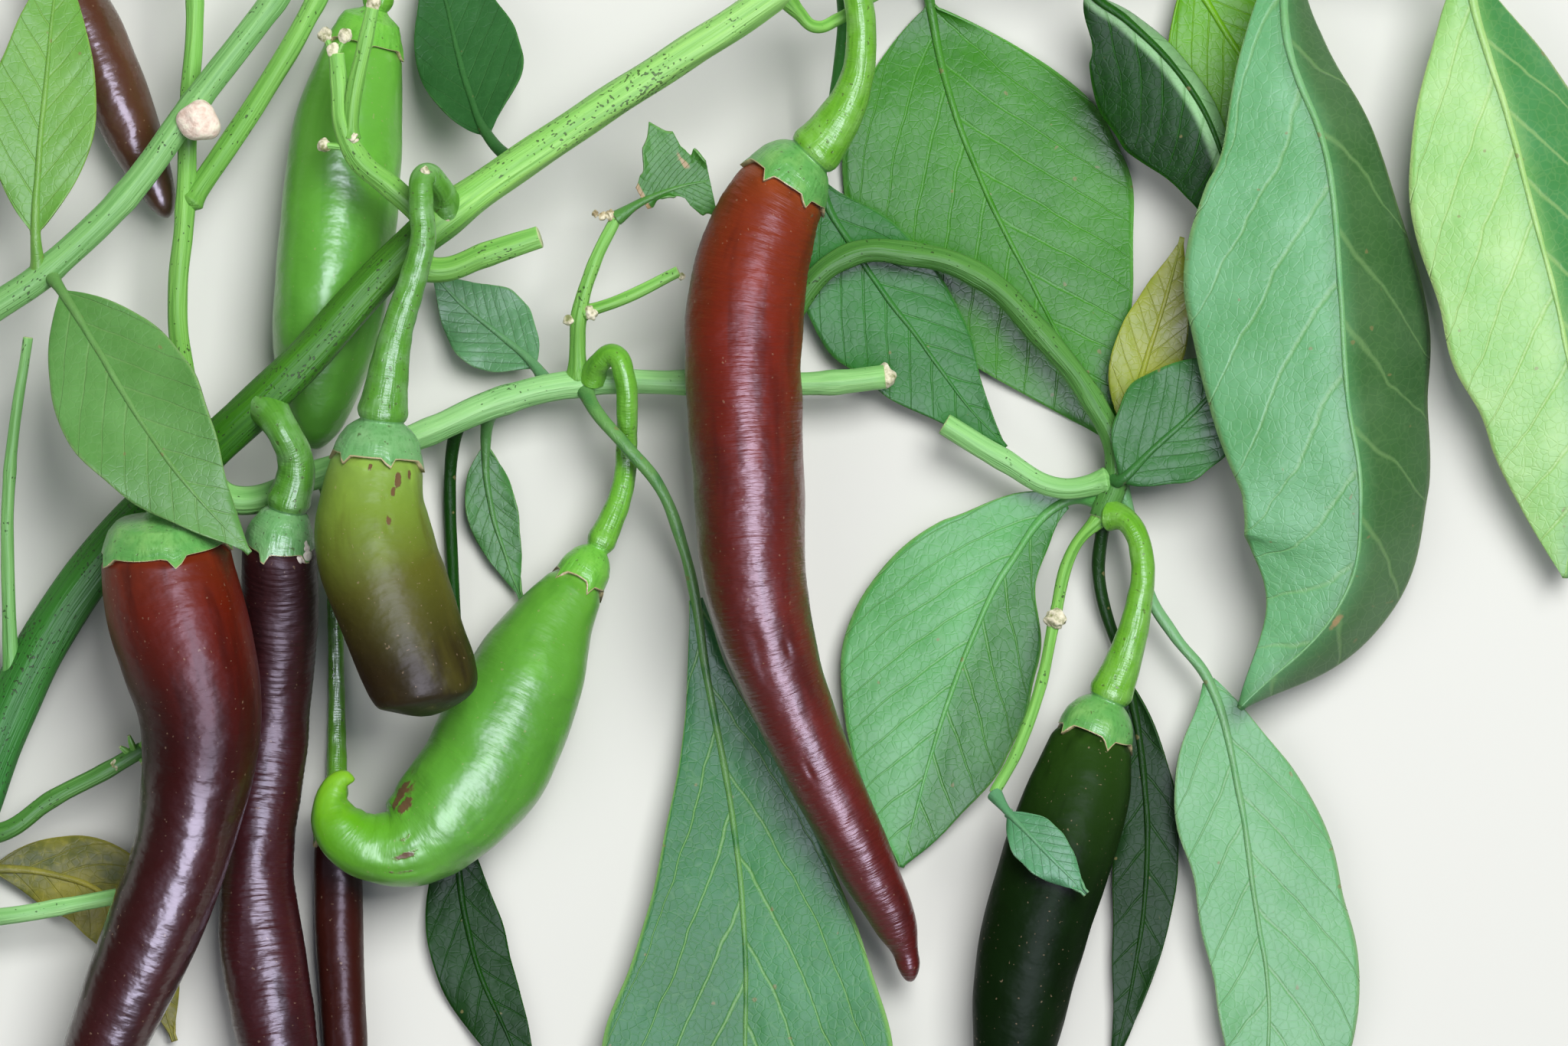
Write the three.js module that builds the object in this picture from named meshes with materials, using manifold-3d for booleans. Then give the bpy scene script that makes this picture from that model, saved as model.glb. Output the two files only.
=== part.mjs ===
// Cut fruiting branch of a chilli pepper plant, laid flat: a flat-cut main stem, its side stems,
// nine chillies on their stalks and twenty-one leaves. Millimetres, +Z up, the branch lies on Z = 0.

import * as THREE from 'three';
import { mergeVertices } from 'three/addons/utils/BufferGeometryUtils.js';
import Module from 'manifold-3d';

const wasm = await Module();
wasm.setup();

// Driving dimensions, in millimetres where they are lengths
const SEAT = 0.3;
const LEAF_THICKNESS_SHARE = 0.0125;
const CALYX_LENGTH = 6.0;
const CALYX_RING = 0.86;
const SCAR_RADIUS = 1.0;
const BUD_RADIUS = 1.4;
const FLOWER_RADIUS = 2.4;
const ROD_SUNK_SHARE = 0.06;
const WELD = 1e-5;
const CURVE_STEPS = 240;

// Facets around and steps along the slender round pieces
const ROD_SIDES = 4;
const ROD_STEPS = 4;
const STALK_SIDES = 6;
const STALK_STEPS = 7;

// The calyx from its ring down to its rim: shares of its length and of its rim's radius
const CALYX_BELL = [[0.4, 0.76], [0.75, 0.96], [1, 1]];
const RING_HEIGHT = 0.08;

const ROUGH_STEM = 0.6;
const ROUGH_STALK = 0.55;
const ROUGH_FRUIT = 0.25;
const ROUGH_LEAF = 0.6;

const COLOURS = {
  stem: 0x6f9a3c,
  stalk: 0x5f9f35,
  red: 0x7d1a14,
  wine: 0x4d1118,
  olive: 0x7f7f2a,
  green: 0x3f9b2a,
  brown: 0x6b2a18,
  leaf: 0x4f9a4a,
  leaf_pale: 0x7fc05a,
  leaf_dark: 0x2c6a2a,
  leaf_yellow: 0xb9a93c,
};

const branch = new THREE.Group();
const pieces = {};

function finish(colour, roughness) {
  return new THREE.MeshStandardMaterial({ color: COLOURS[colour], roughness, metalness: 0 });
}

// A closed three.js shape whose faces share their corners, moved corner by corner into place
function shaped(geometry, move) {
  geometry.deleteAttribute('normal');
  geometry.deleteAttribute('uv');
  const merged = mergeVertices(geometry, WELD);
  const spot = merged.attributes.position;
  for (let i = 0; i < spot.count; i += 1) {
    spot.setXYZ(i, ...move(spot.getX(i), spot.getY(i), spot.getZ(i)).toArray());
  }
  return solidOf(merged);
}

// The same shape as a solid, with its faces turned outwards
function solidOf(merged) {
  const index = merged.index.array;
  const place = merged.attributes.position;
  const corners = [0, 1, 2].map(() => new THREE.Vector3());
  const faces = [];
  let volume = 0;
  for (let i = 0; i < index.length; i += 3) {
    const face = [index[i], index[i + 1], index[i + 2]];
    if (new Set(face).size === 3) {
      face.forEach((vertex, k) => corners[k].fromBufferAttribute(place, vertex));
      volume += corners[0].dot(corners[1].clone().cross(corners[2]));
      faces.push(face);
    }
  }
  if (volume < 0) {
    faces.forEach((face) => face.reverse());
  }
  return new wasm.Manifold(new wasm.Mesh({
    numProp: 3,
    vertProperties: new Float32Array(place.array),
    triVerts: new Uint32Array(faces.flat()),
  }));
}

function curveThrough(points) {
  const corners = points.map((point) => new THREE.Vector3(...point));
  const curve = new THREE.CatmullRomCurve3(corners, false, 'centripetal');
  curve.arcLengthDivisions = CURVE_STEPS;
  curve.frames = curve.computeFrenetFrames(CURVE_STEPS);
  return curve;
}

// The share of a curve's length at which it passes its point number i
function shareAt(curve, i) {
  const lengths = curve.getLengths(CURVE_STEPS);
  const step = (i / (curve.points.length - 1)) * CURVE_STEPS;
  const low = Math.floor(step);
  const high = Math.min(low + 1, CURVE_STEPS);
  return THREE.MathUtils.lerp(lengths[low], lengths[high], step - low) / lengths[CURVE_STEPS];
}

// The point of a piece's axis that lies nearest to a place
function nearestOn(piece, place) {
  const target = new THREE.Vector3(...place);
  const points = piece.curve.getSpacedPoints(CURVE_STEPS);
  points.sort((a, b) => a.distanceTo(target) - b.distanceTo(target));
  return points[0].toArray();
}

// A smooth value along a list of values that are evenly spread from 0 to 1
function along(values, share) {
  const step = THREE.MathUtils.clamp(share, 0, 1) * (values.length - 1);
  const i = Math.min(Math.floor(step), values.length - 2);
  return THREE.MathUtils.lerp(values[i], values[i + 1], step - i);
}

// A profile turned on a lathe, with heights as shares of the curve, then bent along the curve
function bentSolid(curve, profile, sides) {
  const outline = profile.map(([share, radius]) => new THREE.Vector2(radius, share));
  outline.unshift(new THREE.Vector2(0, outline[0].y));
  outline.push(new THREE.Vector2(0, outline[outline.length - 1].y));
  return shaped(new THREE.LatheGeometry(outline, sides), (x, share, z) => {
    const frame = Math.round(share * CURVE_STEPS);
    const point = curve.getPointAt(share);
    point.addScaledVector(curve.frames.binormals[frame], x);
    point.addScaledVector(curve.frames.normals[frame], z);
    return point;
  });
}

function ball(place, radius) {
  const centre = new THREE.Vector3(...place);
  const round = new THREE.IcosahedronGeometry(radius, 0);
  return shaped(round, (x, y, z) => new THREE.Vector3(x, y, z).add(centre));
}

// Cuts a piece clear of the pieces named, which leaves the seat's gap, and keeps its main body
function trimmed(solid, names) {
  const cut = names.reduce((rest, name) => rest.subtract(pieces[name].grown), solid);
  const bodies = cut.decompose();
  bodies.sort((a, b) => b.volume() - a.volume());
  return bodies[0];
}

function place(name, piece, material) {
  const { vertProperties, triVerts } = piece.solid.getMesh();
  const geometry = new THREE.BufferGeometry();
  geometry.setAttribute('position', new THREE.BufferAttribute(vertProperties, 3));
  geometry.setIndex(new THREE.BufferAttribute(triVerts, 1));
  geometry.computeVertexNormals();
  const mesh = new THREE.Mesh(geometry, material);
  mesh.name = name;
  branch.add(mesh);
  pieces[name] = piece;
}

// One tapering limb with flat ends; girth holds its radii, evenly spread along it
function limb(name, { root, path, girth, sides = 6, steps = 6, clear = [], knobs = [], part = [0, 1] }) {
  const carriers = root ? [root[0]] : [];
  const start = root ? [nearestOn(pieces[root[0]], root[1])] : [];
  const curve = curveThrough([...start, ...path]);
  const profile = (extra) => Array.from({ length: steps + 1 }, (_, i) => {
    const share = THREE.MathUtils.lerp(part[0], part[1], i / steps);
    return [share, along(girth, share) + extra];
  });
  let solid = bentSolid(curve, profile(0), sides);
  knobs.forEach(([spot, radius]) => {
    solid = solid.add(ball(spot, radius));
  });
  const grown = bentSolid(curve, profile(SEAT), sides);
  solid = trimmed(solid, [...carriers, ...clear]);
  place(name, { curve, solid, grown }, finish('stem', ROUGH_STEM));
}

// A chilli: one axis runs down the stalk, through the calyx and along the body to the tip. The
// stalk with its calyx is one piece, and the body seats against the calyx's flat underside.
function fruit(name, { root, stalk, body, stalkGirth, calyx, girth, colour, clear = [],
  sides = 8, steps = 12 }) {
  const start = nearestOn(pieces[root[0]], root[1]);
  const curve = curveThrough([start, ...stalk, ...body]);
  const length = curve.getLength();
  const split = shareAt(curve, stalk.length);
  const calyxTop = split - CALYX_LENGTH / length;
  const neck = (stalkGirth[stalkGirth.length - 1] * CALYX_RING) / calyx;
  const stalkProfile = (extra) => {
    const profile = Array.from({ length: STALK_STEPS + 1 }, (_, i) => {
      const share = (calyxTop * i) / STALK_STEPS;
      return [share, along(stalkGirth, i / STALK_STEPS) + extra];
    });
    [[RING_HEIGHT, neck], ...CALYX_BELL].forEach(([share, radius]) => {
      profile.push([THREE.MathUtils.lerp(calyxTop, split, share), radius * calyx + extra]);
    });
    return profile;
  };
  const bodyTop = split + SEAT / length;
  const bodyProfile = (extra) => Array.from({ length: steps + 1 }, (_, i) => {
    const share = i / steps;
    return [THREE.MathUtils.lerp(bodyTop, 1, share), along(girth, share) + extra];
  });
  const stalkSolid = trimmed(bentSolid(curve, stalkProfile(0), STALK_SIDES), [root[0], ...clear]);
  const stalkGrown = bentSolid(curve, stalkProfile(SEAT), STALK_SIDES);
  place(`stalk_${name}`, { curve, solid: stalkSolid, grown: stalkGrown }, finish('stalk', ROUGH_STALK));
  const bodySolid = bentSolid(curve, bodyProfile(0), sides);
  const bodyGrown = bentSolid(curve, bodyProfile(SEAT), sides);
  place(`chilli_${name}`, { curve, solid: bodySolid, grown: bodyGrown }, finish(colour, ROUGH_FRUIT));
}

// A leaf: its stalk is a thin round rod along the rib's first points, and its blade is a bent
// plate. The half widths swell to the widest share and each half tilts by its own angle.
function leaf(name, { root, path, bladeFrom, halves, tilts, widest = 0.42, fullness = 1.1,
  rod = [1.0, 0.7], colour = 'leaf', clear = [], steps = 8 }) {
  const start = nearestOn(pieces[root[0]], root[1]);
  const curve = curveThrough([start, ...path]);
  const base = shareAt(curve, bladeFrom + 1);
  const length = curve.getLength() * (1 - base);
  const thickness = length * LEAF_THICKNESS_SHARE;
  const power = Math.log(0.5) / Math.log(widest);
  const up = new THREE.Vector3(0, 0, 1);
  const blade = shaped(new THREE.BoxGeometry(2, 1, 1, 2, steps, 1), (x, y, z) => {
    const share = y + 0.5;
    const side = Math.sign(x);
    const swell = Math.sin(Math.PI * share ** power) ** fullness;
    const half = Math.max(halves[side < 0 ? 0 : 1] * swell, thickness / 2);
    const tilt = THREE.MathUtils.degToRad(tilts[side < 0 ? 0 : 1]) * swell * Math.abs(side);
    const u = THREE.MathUtils.lerp(base, 1, share);
    const tangent = curve.getTangentAt(u);
    const right = tangent.clone().cross(up).normalize();
    const lift = right.clone().cross(tangent);
    const point = curve.getPointAt(u);
    const face = z * thickness;
    point.addScaledVector(right, side * (half * Math.cos(tilt) - face * Math.sin(tilt)));
    point.addScaledVector(lift, half * Math.sin(tilt) + face * Math.cos(tilt));
    return point;
  });
  const sunk = base + ROD_SUNK_SHARE;
  const rodProfile = Array.from({ length: ROD_STEPS + 1 }, (_, i) => (
    [(sunk * i) / ROD_STEPS, along(rod, i / ROD_STEPS)]));
  const whole = blade.add(bentSolid(curve, rodProfile, ROD_SIDES));
  place(name, { curve, solid: trimmed(whole, [root[0], ...clear]) }, finish(colour, ROUGH_LEAF));
}

// Stems

const MAIN_AXIS = [
  [-122.3, -63.6, 4.2], [-107.8, -23.4, 5.4], [-96.8, -5.8, 7.6], [-82.5, 8.5, 13], [-68.2, 21.7, 19.6],
  [-52.8, 38.2, 21], [-46.2, 43.7, 21], [-33, 53, 21], [-11, 67.3, 22], [9.9, 80, 22],
  [33, 85.7, 20], [55, 87.7, 18], [77, 86.3, 16], [99, 81.6, 14],
];
const MAIN_GIRTH = [4.2, 3.9, 3.5, 3.2, 2.9, 2.6, 2.4, 2.3, 2.1, 1.9, 1.6, 1.3];
const TOP_NODE = 0.693;
const TOP_GAP = 0.001;

limb('stem_main', { path: MAIN_AXIS, girth: MAIN_GIRTH, sides: 8, steps: 18, part: [0, TOP_NODE] });
limb('stem_right', { path: MAIN_AXIS, girth: MAIN_GIRTH, steps: 6, part: [TOP_NODE + TOP_GAP, 1] });
limb('stem_second', {
  root: ['stem_main', [-83.6, 7.4, 12.5]],
  path: [[-77, 3.2, 11], [-66, 6.8, 9], [-50, 12.9, 7.8], [-39.6, 17.3, 7.2], [-28.6, 19.7, 7.2],
    [-14.3, 19.8, 7.2], [6.6, 19.8, 7.2], [14.3, 20.6, 7.4]],
  girth: [2.1, 1.9, 1.9, 2.0, 1.7, 1.6, 1.7],
  steps: 14,
});
limb('stem_far', {
  root: ['stem_second', [-1.6, 19.8, 7.2]],
  path: [[1.1, 29.4, 6.4], [8.8, 37.6, 6.3], [17.6, 38, 6.3], [27.5, 34.9, 6.4], [36.1, 26.8, 6.4],
    [43.5, 17.3, 6.5], [47.1, 8.5, 6.6], [44.9, 0.6, 6.8]],
  girth: [1.6, 1.6, 1.7, 1.7, 1.6, 1.9],
  steps: 12,
});
limb('stub_far', {
  root: ['stem_far', [46.6, 6, 6.6]],
  path: [[38.5, 5, 7], [30.8, 9, 7], [22.6, 14, 7.2]],
  girth: [1.5, 1.5, 1.6],
  steps: 4,
});
limb('stub_joint', {
  root: ['stem_main', [-53.7, 37.1, 21]],
  path: [[-48.4, 35.4, 20], [-41.8, 37.5, 20.6], [-34.1, 40, 21.5]],
  girth: [1.7, 1.7, 1.6],
  steps: 4,
});
limb('twig_joint', {
  root: ['stem_main', [-48.4, 42, 21]],
  path: [[-51.7, 44.2, 22], [-55, 47, 23], [-59.4, 50.8, 23.6], [-61.6, 55.8, 24], [-62.1, 61.3, 24],
    [-62.5, 65.5, 24]],
  girth: [1.7, 1.6, 1.5, 1.2, 1.1],
  knobs: [[[-62.9, 66, 24.4], SCAR_RADIUS], [[-64, 68.2, 24.2], SCAR_RADIUS],
    [[-61.2, 68, 24.6], SCAR_RADIUS]],
});
limb('twig_joint_side', {
  root: ['twig_joint', [-60.6, 53, 23.8]],
  path: [[-60, 59.6, 25], [-58.3, 67.3, 26], [-57.3, 71.8, 26.5]],
  girth: [1.1, 1.1, 0.9],
  steps: 4,
  knobs: [[[-57.2, 72.3, 26.6], SCAR_RADIUS]],
});
limb('twig_upper', {
  root: ['stem_second', [-29, 19.7, 7.2]],
  path: [[-29.1, 25, 9], [-28.8, 29.4, 11], [-26.9, 36, 12.5], [-23.6, 42.8, 13]],
  girth: [1.3, 1.1, 0.9, 0.8],
});
limb('twig_upper_side', {
  root: ['twig_upper', [-28.8, 29.4, 11]],
  path: [[-22, 31.8, 11.5], [-14.8, 35.4, 12]],
  girth: [0.9, 0.8],
  steps: 4,
});
limb('twig_low_a', {
  root: ['stem_main', [-116.6, -43.8, 4.6]],
  path: [[-110, -43.5, 7.4], [-103.4, -39, 7.6], [-95.7, -35, 7.8], [-90.4, -31.9, 8]],
  girth: [1.3, 1.2, 1.1],
  knobs: [[[-91, -31, 8.6], SCAR_RADIUS]],
});
limb('twig_low_b', {
  root: ['stem_main', [-120.1, -56.2, 4.3]],
  path: [[-110, -55.5, 7], [-102.3, -54.2, 7.6], [-94, -52.6, 8]],
  girth: [1.3, 1.2, 1.1],
  steps: 4,
});
limb('bough_left', {
  root: ['stem_main', [-112.2, -32.8, 5]],
  path: [[-120.5, -16.8, 7], [-123.2, 7.4, 10], [-116.6, 25, 13], [-103.4, 35.4, 15], [-92.4, 45.9, 15.5],
    [-82.5, 59.1, 16], [-71.5, 73.4, 16], [-66, 81.6, 16]],
  girth: [2.2, 2.1, 2, 2, 1.9, 1.8],
  steps: 14,
  knobs: [[[-82, 56.3, 18], FLOWER_RADIUS]],
});
limb('shoot_left', {
  root: ['stem_main', [-81.2, 9.6, 13.5]],
  path: [[-85.3, 27.2, 10], [-84.3, 44.2, 11], [-83.6, 60.2, 11], [-82.9, 73.4, 11], [-83.6, 81.6, 11]],
  girth: [1.4, 1.4, 1.3, 1.2],
  steps: 7,
});
limb('shoot_left_side', {
  root: ['shoot_left', [-84.3, 44.2, 11]],
  path: [[-73.7, 60.2, 9.5], [-66, 73.4, 9], [-61.6, 82.7, 10]],
  girth: [1.6, 1.5, 1.4],
});
limb('twig_left_thin', {
  root: ['stem_main', [-108.9, -25.6, 5.3]],
  path: [[-109.3, -10.2, 9], [-108.9, 7.4, 12], [-106.2, 26.1, 13.5]],
  girth: [1.1, 0.9, 0.7],
});
limb('stalk_curled', {
  root: ['stem_main', [0, 73.6, 22]],
  path: [[2, 71.4, 21], [4.4, 69.4, 20], [7.5, 70.5, 19], [11.6, 73.2, 19], [14.8, 74.7, 19.5]],
  girth: [0.9, 0.8, 0.7],
  steps: 8,
});
limb('twig_shoot', {
  root: ['stem_far', [45.1, 1.3, 6.8]],
  path: [[40.9, -3.6, 8], [38.1, -13.5, 9], [36.3, -22.3, 10.5], [32.7, -32.2, 12.5], [29.5, -38, 13.5]],
  girth: [0.9, 0.8, 0.8],
  knobs: [[[38.3, -13.5, 9.8], BUD_RADIUS]],
});

// Chillies

fruit('long_red', {
  root: ['stem_main', [8.6, 79.1, 22]],
  stalk: [[10.1, 74.5, 22.5], [10.8, 67.9, 22], [9.9, 61.3, 21], [6.8, 55.2, 20], [0.2, 47.2, 19.2]],
  body: [[-3.1, 40.4, 19], [-5.2, 31.6, 18.8], [-5.7, 23.9, 18.6], [-5.5, 16.2, 18.6], [-4.8, 5.2, 18.4],
    [-3.9, -8, 18], [-1.6, -17.9, 17], [1.1, -25.6, 16], [5, -34.4, 14.5], [8.8, -42.1, 13],
    [12.3, -49.3, 11], [15.2, -55.3, 9], [17.4, -61.4, 7], [17.9, -64.8, 6]],
  stalkGirth: [2.0, 2.0, 2.1, 2.4, 3.2, 3.9],
  calyx: 6.3,
  girth: [6.4, 7.7, 8.2, 8.1, 8.0, 7.8, 7.3, 6.5, 5.7, 5.3, 4.8, 4.1, 3.0, 1.4],
  colour: 'red',
  sides: 10,
  steps: 17,
});
fruit('wide_red', {
  root: ['stem_main', [-86, 5.4, 11.8]],
  stalk: [[-86.2, 8.3, 18], [-86.7, 7.2, 22], [-86.8, 3, 22.6], [-86.5, -3.6, 21.3]],
  body: [[-85.4, -10.2, 20.4], [-83.4, -17.9, 19.8], [-81.7, -25.6, 19], [-81.7, -32.2, 18.5],
    [-82.7, -38.8, 18], [-84.3, -46, 17.5], [-86.8, -53.1, 16.5], [-90, -60.8, 15], [-93.8, -69.6, 13],
    [-97.9, -79.5, 10], [-101, -88.3, 7], [-102.7, -96, 4]],
  stalkGirth: [2.0, 2.0, 2.2, 2.8],
  calyx: 8.8,
  girth: [9.0, 9.7, 9.6, 8.9, 8.2, 7.3, 6.7, 6.6, 6.3, 5.9, 5.4, 4.3, 2.8, 1.0],
  colour: 'red',
  sides: 9,
  steps: 13,
});
fruit('wrinkled_red', {
  root: ['stem_main', [-73.2, 17.3, 17.5]],
  stalk: [[-70.4, 13.4, 20.5], [-68.4, 8.5, 18.5], [-69.7, 1.9, 16.5], [-70.8, -3.1, 15]],
  body: [[-70.9, -10.2, 11.8], [-71.6, -20.1, 8.6], [-72.4, -28.9, 7], [-74.3, -44.3, 6.5],
    [-74.3, -53.1, 6.3], [-72.7, -66.3, 6.4], [-70.6, -78.4, 6.2], [-69, -89.4, 5]],
  stalkGirth: [2.0, 2.2, 2.6, 3.1],
  calyx: 4.9,
  girth: [5.2, 5.4, 5.3, 5.3, 5.3, 5.4, 5.4, 5.6, 5.8, 5.6, 4.4, 1.6],
  colour: 'wine',
});
fruit('olive', {
  root: ['stem_main', [-46.9, 43.1, 21]],
  stalk: [[-48.2, 47, 25.5], [-50, 48.3, 27.5], [-50.5, 44.5, 28.6], [-50.2, 39.8, 28.6], [-51.7, 33.8, 28],
    [-54.1, 26.1, 27], [-55.5, 18.4, 26], [-56.7, 9, 24.8]],
  body: [[-57.5, 2, 24.6], [-56.7, -4.5, 24.3], [-55, -9.5, 24], [-53.4, -14, 23.8], [-52.2, -17.4, 23.6],
    [-50.8, -20.9, 23.5], [-49.8, -24, 23.4], [-49.2, -26.9, 23.3]],
  stalkGirth: [1.7, 1.7, 1.7, 1.8, 2.0, 2.3, 2.9, 3.6],
  calyx: 6.3,
  girth: [6.4, 6.8, 7.2, 7.8, 8.2, 8.4, 8.4, 8.4, 8.3, 8.2, 8.1, 8.0, 7.8, 7.0, 4.2],
  colour: 'olive',
  steps: 14,
});
fruit('curled_green', {
  root: ['stem_second', [-27.3, 19.7, 7.2]],
  stalk: [[-25.9, 22.6, 10.5], [-23.9, 23.6, 12], [-22.4, 20.4, 12.2], [-22.1, 15.1, 10.2], [-22.2, 10.7, 8],
    [-22.6, 5.7, 8], [-24.2, 0.8, 8.3], [-29, -8.3, 9]],
  body: [[-33.1, -14.9, 9.2], [-36, -21.1, 9.5], [-38.3, -25.9, 9.7], [-40.3, -30.2, 9.9],
    [-42.5, -34.4, 10.2], [-45.2, -37.9, 10.6], [-48, -41, 10.9], [-51.1, -43.8, 11.3], [-54.2, -45.5, 11.9],
    [-57.2, -45.6, 12.3], [-59.9, -44.8, 12.6], [-62.1, -43, 12.8], [-63.4, -40.2, 12.9],
    [-63.2, -37.6, 13], [-62, -36.1, 13.1], [-60.3, -36, 13.2]],
  stalkGirth: [1.5, 1.5, 1.5, 1.5, 1.7, 2.1],
  calyx: 3.8,
  clear: ['twig_upper'],
  girth: [4.0, 5.2, 6.5, 7.7, 8.4, 8.8, 8.9, 8.8, 8.6, 8.2, 7.6, 6.5, 5.1, 4.4, 3.7, 2.6, 0.7],
  colour: 'green',
  sides: 9,
  steps: 16,
});
fruit('back_green', {
  root: ['shoot_left_side', [-61.9, 82, 9.9]],
  stalk: [[-58.3, 82.7, 11], [-56.8, 77.8, 10], [-59.1, 67.3, 8.6]],
  body: [[-61.6, 55.8, 8.6], [-62.7, 45.9, 8.6], [-64.3, 29.4, 8.6], [-65.7, 18.4, 7], [-66.4, 10.4, 4.5]],
  stalkGirth: [1.6, 1.7, 2.2],
  calyx: 5.2,
  girth: [5.4, 7.0, 7.9, 8.2, 8.2, 8.0, 7.2, 5.2, 2.2],
  colour: 'green',
  steps: 9,
});
fruit('back_brown', {
  root: ['shoot_left', [-83.5, 80, 11]],
  stalk: [[-88, 85.5, 10], [-96.8, 87.7, 8], [-102.8, 85.3, 6.5], [-101.9, 77.5, 5.6]],
  body: [[-100.1, 73.4, 5.6], [-95.7, 63.5, 5.6], [-91.3, 53.6, 5.5], [-88, 45.9, 5.2], [-87, 43.1, 5]],
  stalkGirth: [1.2, 1.3, 1.5, 1.9],
  calyx: 3.9,
  girth: [4.0, 4.7, 4.7, 4.5, 4.0, 3.0, 1.4],
  colour: 'brown',
  steps: 7,
});
fruit('low_red', {
  root: ['stem_second', [-64.4, 7.4, 8.8]],
  stalk: [[-63.8, -2.5, 4], [-63.4, -20.1, 2], [-63.3, -34.4, 2.2], [-63.3, -44.9, 4]],
  body: [[-62.9, -53.1, 4.2], [-62.5, -64.1, 4.2], [-61.9, -75.1, 4.2], [-60.8, -88.3, 3.4]],
  stalkGirth: [1.2, 1.1, 1.2, 1.6],
  calyx: 3.3,
  girth: [3.1, 3.4, 3.4, 3.3, 3.1, 2.4, 1.0],
  colour: 'wine',
  steps: 7,
});
fruit('dark_green', {
  root: ['stem_far', [45.1, 1.3, 6.8]],
  stalk: [[48.4, 0.2, 9], [50.4, -4.7, 10], [49.8, -12.4, 9.8], [48, -19, 9], [43.7, -30, 8.4]],
  body: [[41.8, -37.7, 8.3], [38.5, -47.6, 8.2], [35.2, -58.6, 7.8], [33.2, -69.6, 6.8], [31.9, -80.6, 5],
    [31.4, -89.4, 3]],
  stalkGirth: [1.6, 1.6, 1.8, 2.4, 3.2],
  calyx: 5.4,
  girth: [5.6, 7.2, 7.8, 7.7, 7.4, 6.8, 5.7, 4.0, 1.3],
  colour: 'green',
  clear: ['twig_shoot'],
  steps: 10,
});

// Leaves

leaf('leaf_centre', {
  root: ['stem_second', [-28.4, 19.6, 7.2]],
  path: [[-26.6, 15.9, 10.5], [-22.3, 10.9, 12], [-17.6, 5.2, 10.5], [-14.5, -2.5, 8.5], [-12.5, -10.8, 6.5],
    [-11, -21.2, 5.4], [-9.7, -27.8, 5], [-7.2, -42.1, 5], [-5.7, -56.4, 5], [-5.5, -73.4, 3.6],
    [-6.8, -93.8, 2.2], [-9.3, -112.5, 1]],
  bladeFrom: 4,
  halves: [20, 20.5],
  tilts: [4, 4],
  widest: 0.62,
  fullness: 1.3,
  steps: 10,
});
leaf('leaf_right', {
  root: ['stem_right', [70.4, 87, 16.6]],
  path: [[70.4, 81.1, 17], [70.4, 67.9, 19], [75.9, 51.4, 20], [77.7, 34.9, 20], [78.8, 18.4, 19.5],
    [80.8, 3, 18], [78.7, -10.2, 15], [64.1, -26.2, 10]],
  bladeFrom: 0,
  halves: [20, 22.5],
  tilts: [-52, -12],
  widest: 0.45,
  fullness: 0.8,
  steps: 10,
});
leaf('leaf_far_right', {
  root: ['stem_right', [93.5, 83.8, 14.6]],
  path: [[95.7, 78.3, 14], [97.3, 71.2, 13.5], [101.8, 56.9, 13], [105, 44.8, 13], [109.5, 27.2, 12],
    [111.7, 11.8, 10], [110.3, -7.8, 6]],
  bladeFrom: 0,
  halves: [16, 17.5],
  tilts: [-35, -8],
  fullness: 0.8,
  colour: 'leaf_pale',
});
leaf('leaf_lower_right', {
  root: ['stem_far', [47, 8, 6.6]],
  path: [[49.4, -1.5, 4.8], [51.8, -10.5, 5], [55, -15.7, 5], [60, -22.3, 5], [63.8, -35.6, 4.8],
    [66.5, -53.1, 4.6], [68.6, -69.6, 4], [66, -90.5, 1.8]],
  bladeFrom: 3,
  halves: [13, 10.5],
  tilts: [-4, 4],
  clear: ['twig_shoot', 'stalk_dark_green'],
  widest: 0.45,
  fullness: 0.9,
  colour: 'leaf_pale',
});
leaf('leaf_middle', {
  root: ['stem_far', [45.7, 3, 6.7]],
  path: [[39.8, 3, 4.2], [31.9, -5.8, 4.2], [26.4, -16.8, 4.2], [22, -28.9, 4], [16.5, -48.7, 2.6]],
  bladeFrom: 0,
  halves: [11.5, 16.5],
  tilts: [0, -2],
  widest: 0.4,
  fullness: 0.9,
  colour: 'leaf_pale',
});
leaf('leaf_twisted', {
  root: ['stem_right', [40.7, 86.8, 19.3]],
  path: [[41.6, 80, 16], [42.9, 75, 13], [48.4, 70.6, 11.8], [55, 64, 11.5], [60.4, 55.2, 11], [62.6, 46, 10],
    [61.5, 37, 9]],
  bladeFrom: 1,
  halves: [6, 13],
  tilts: [-70, -15],
  colour: 'leaf_dark',
});
leaf('leaf_back_large', {
  root: ['stem_right', [19.8, 82.7, 21.2]],
  path: [[19.8, 81.1, 8], [20.7, 73.4, 1.2], [23.6, 60.2, 0.9], [28.6, 47, 0.9], [36.3, 31.6, 0.9],
    [46.8, 11.2, 0.9]],
  bladeFrom: 1,
  halves: [20, 20],
  tilts: [0, 0],
});
leaf('leaf_back_upper', {
  root: ['stem_right', [53.4, 87.7, 18.1]],
  path: [[53.9, 83.3, 10], [57.2, 77.8, 5], [62.7, 69, 3.8], [68.8, 59.1, 3.8], [73.2, 48.6, 3.8]],
  bladeFrom: 1,
  halves: [10, 10],
  tilts: [0, 0],
  colour: 'leaf_pale',
});
leaf('leaf_node', {
  root: ['stem_far', [46.8, 6.3, 6.6]],
  path: [[47.3, 6, 8.8], [51.7, 10.1, 9.5], [58.3, 16.2, 10], [66, 25, 9.5]],
  bladeFrom: 0,
  halves: [8.8, 7.5],
  tilts: [0, 0],
});
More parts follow.
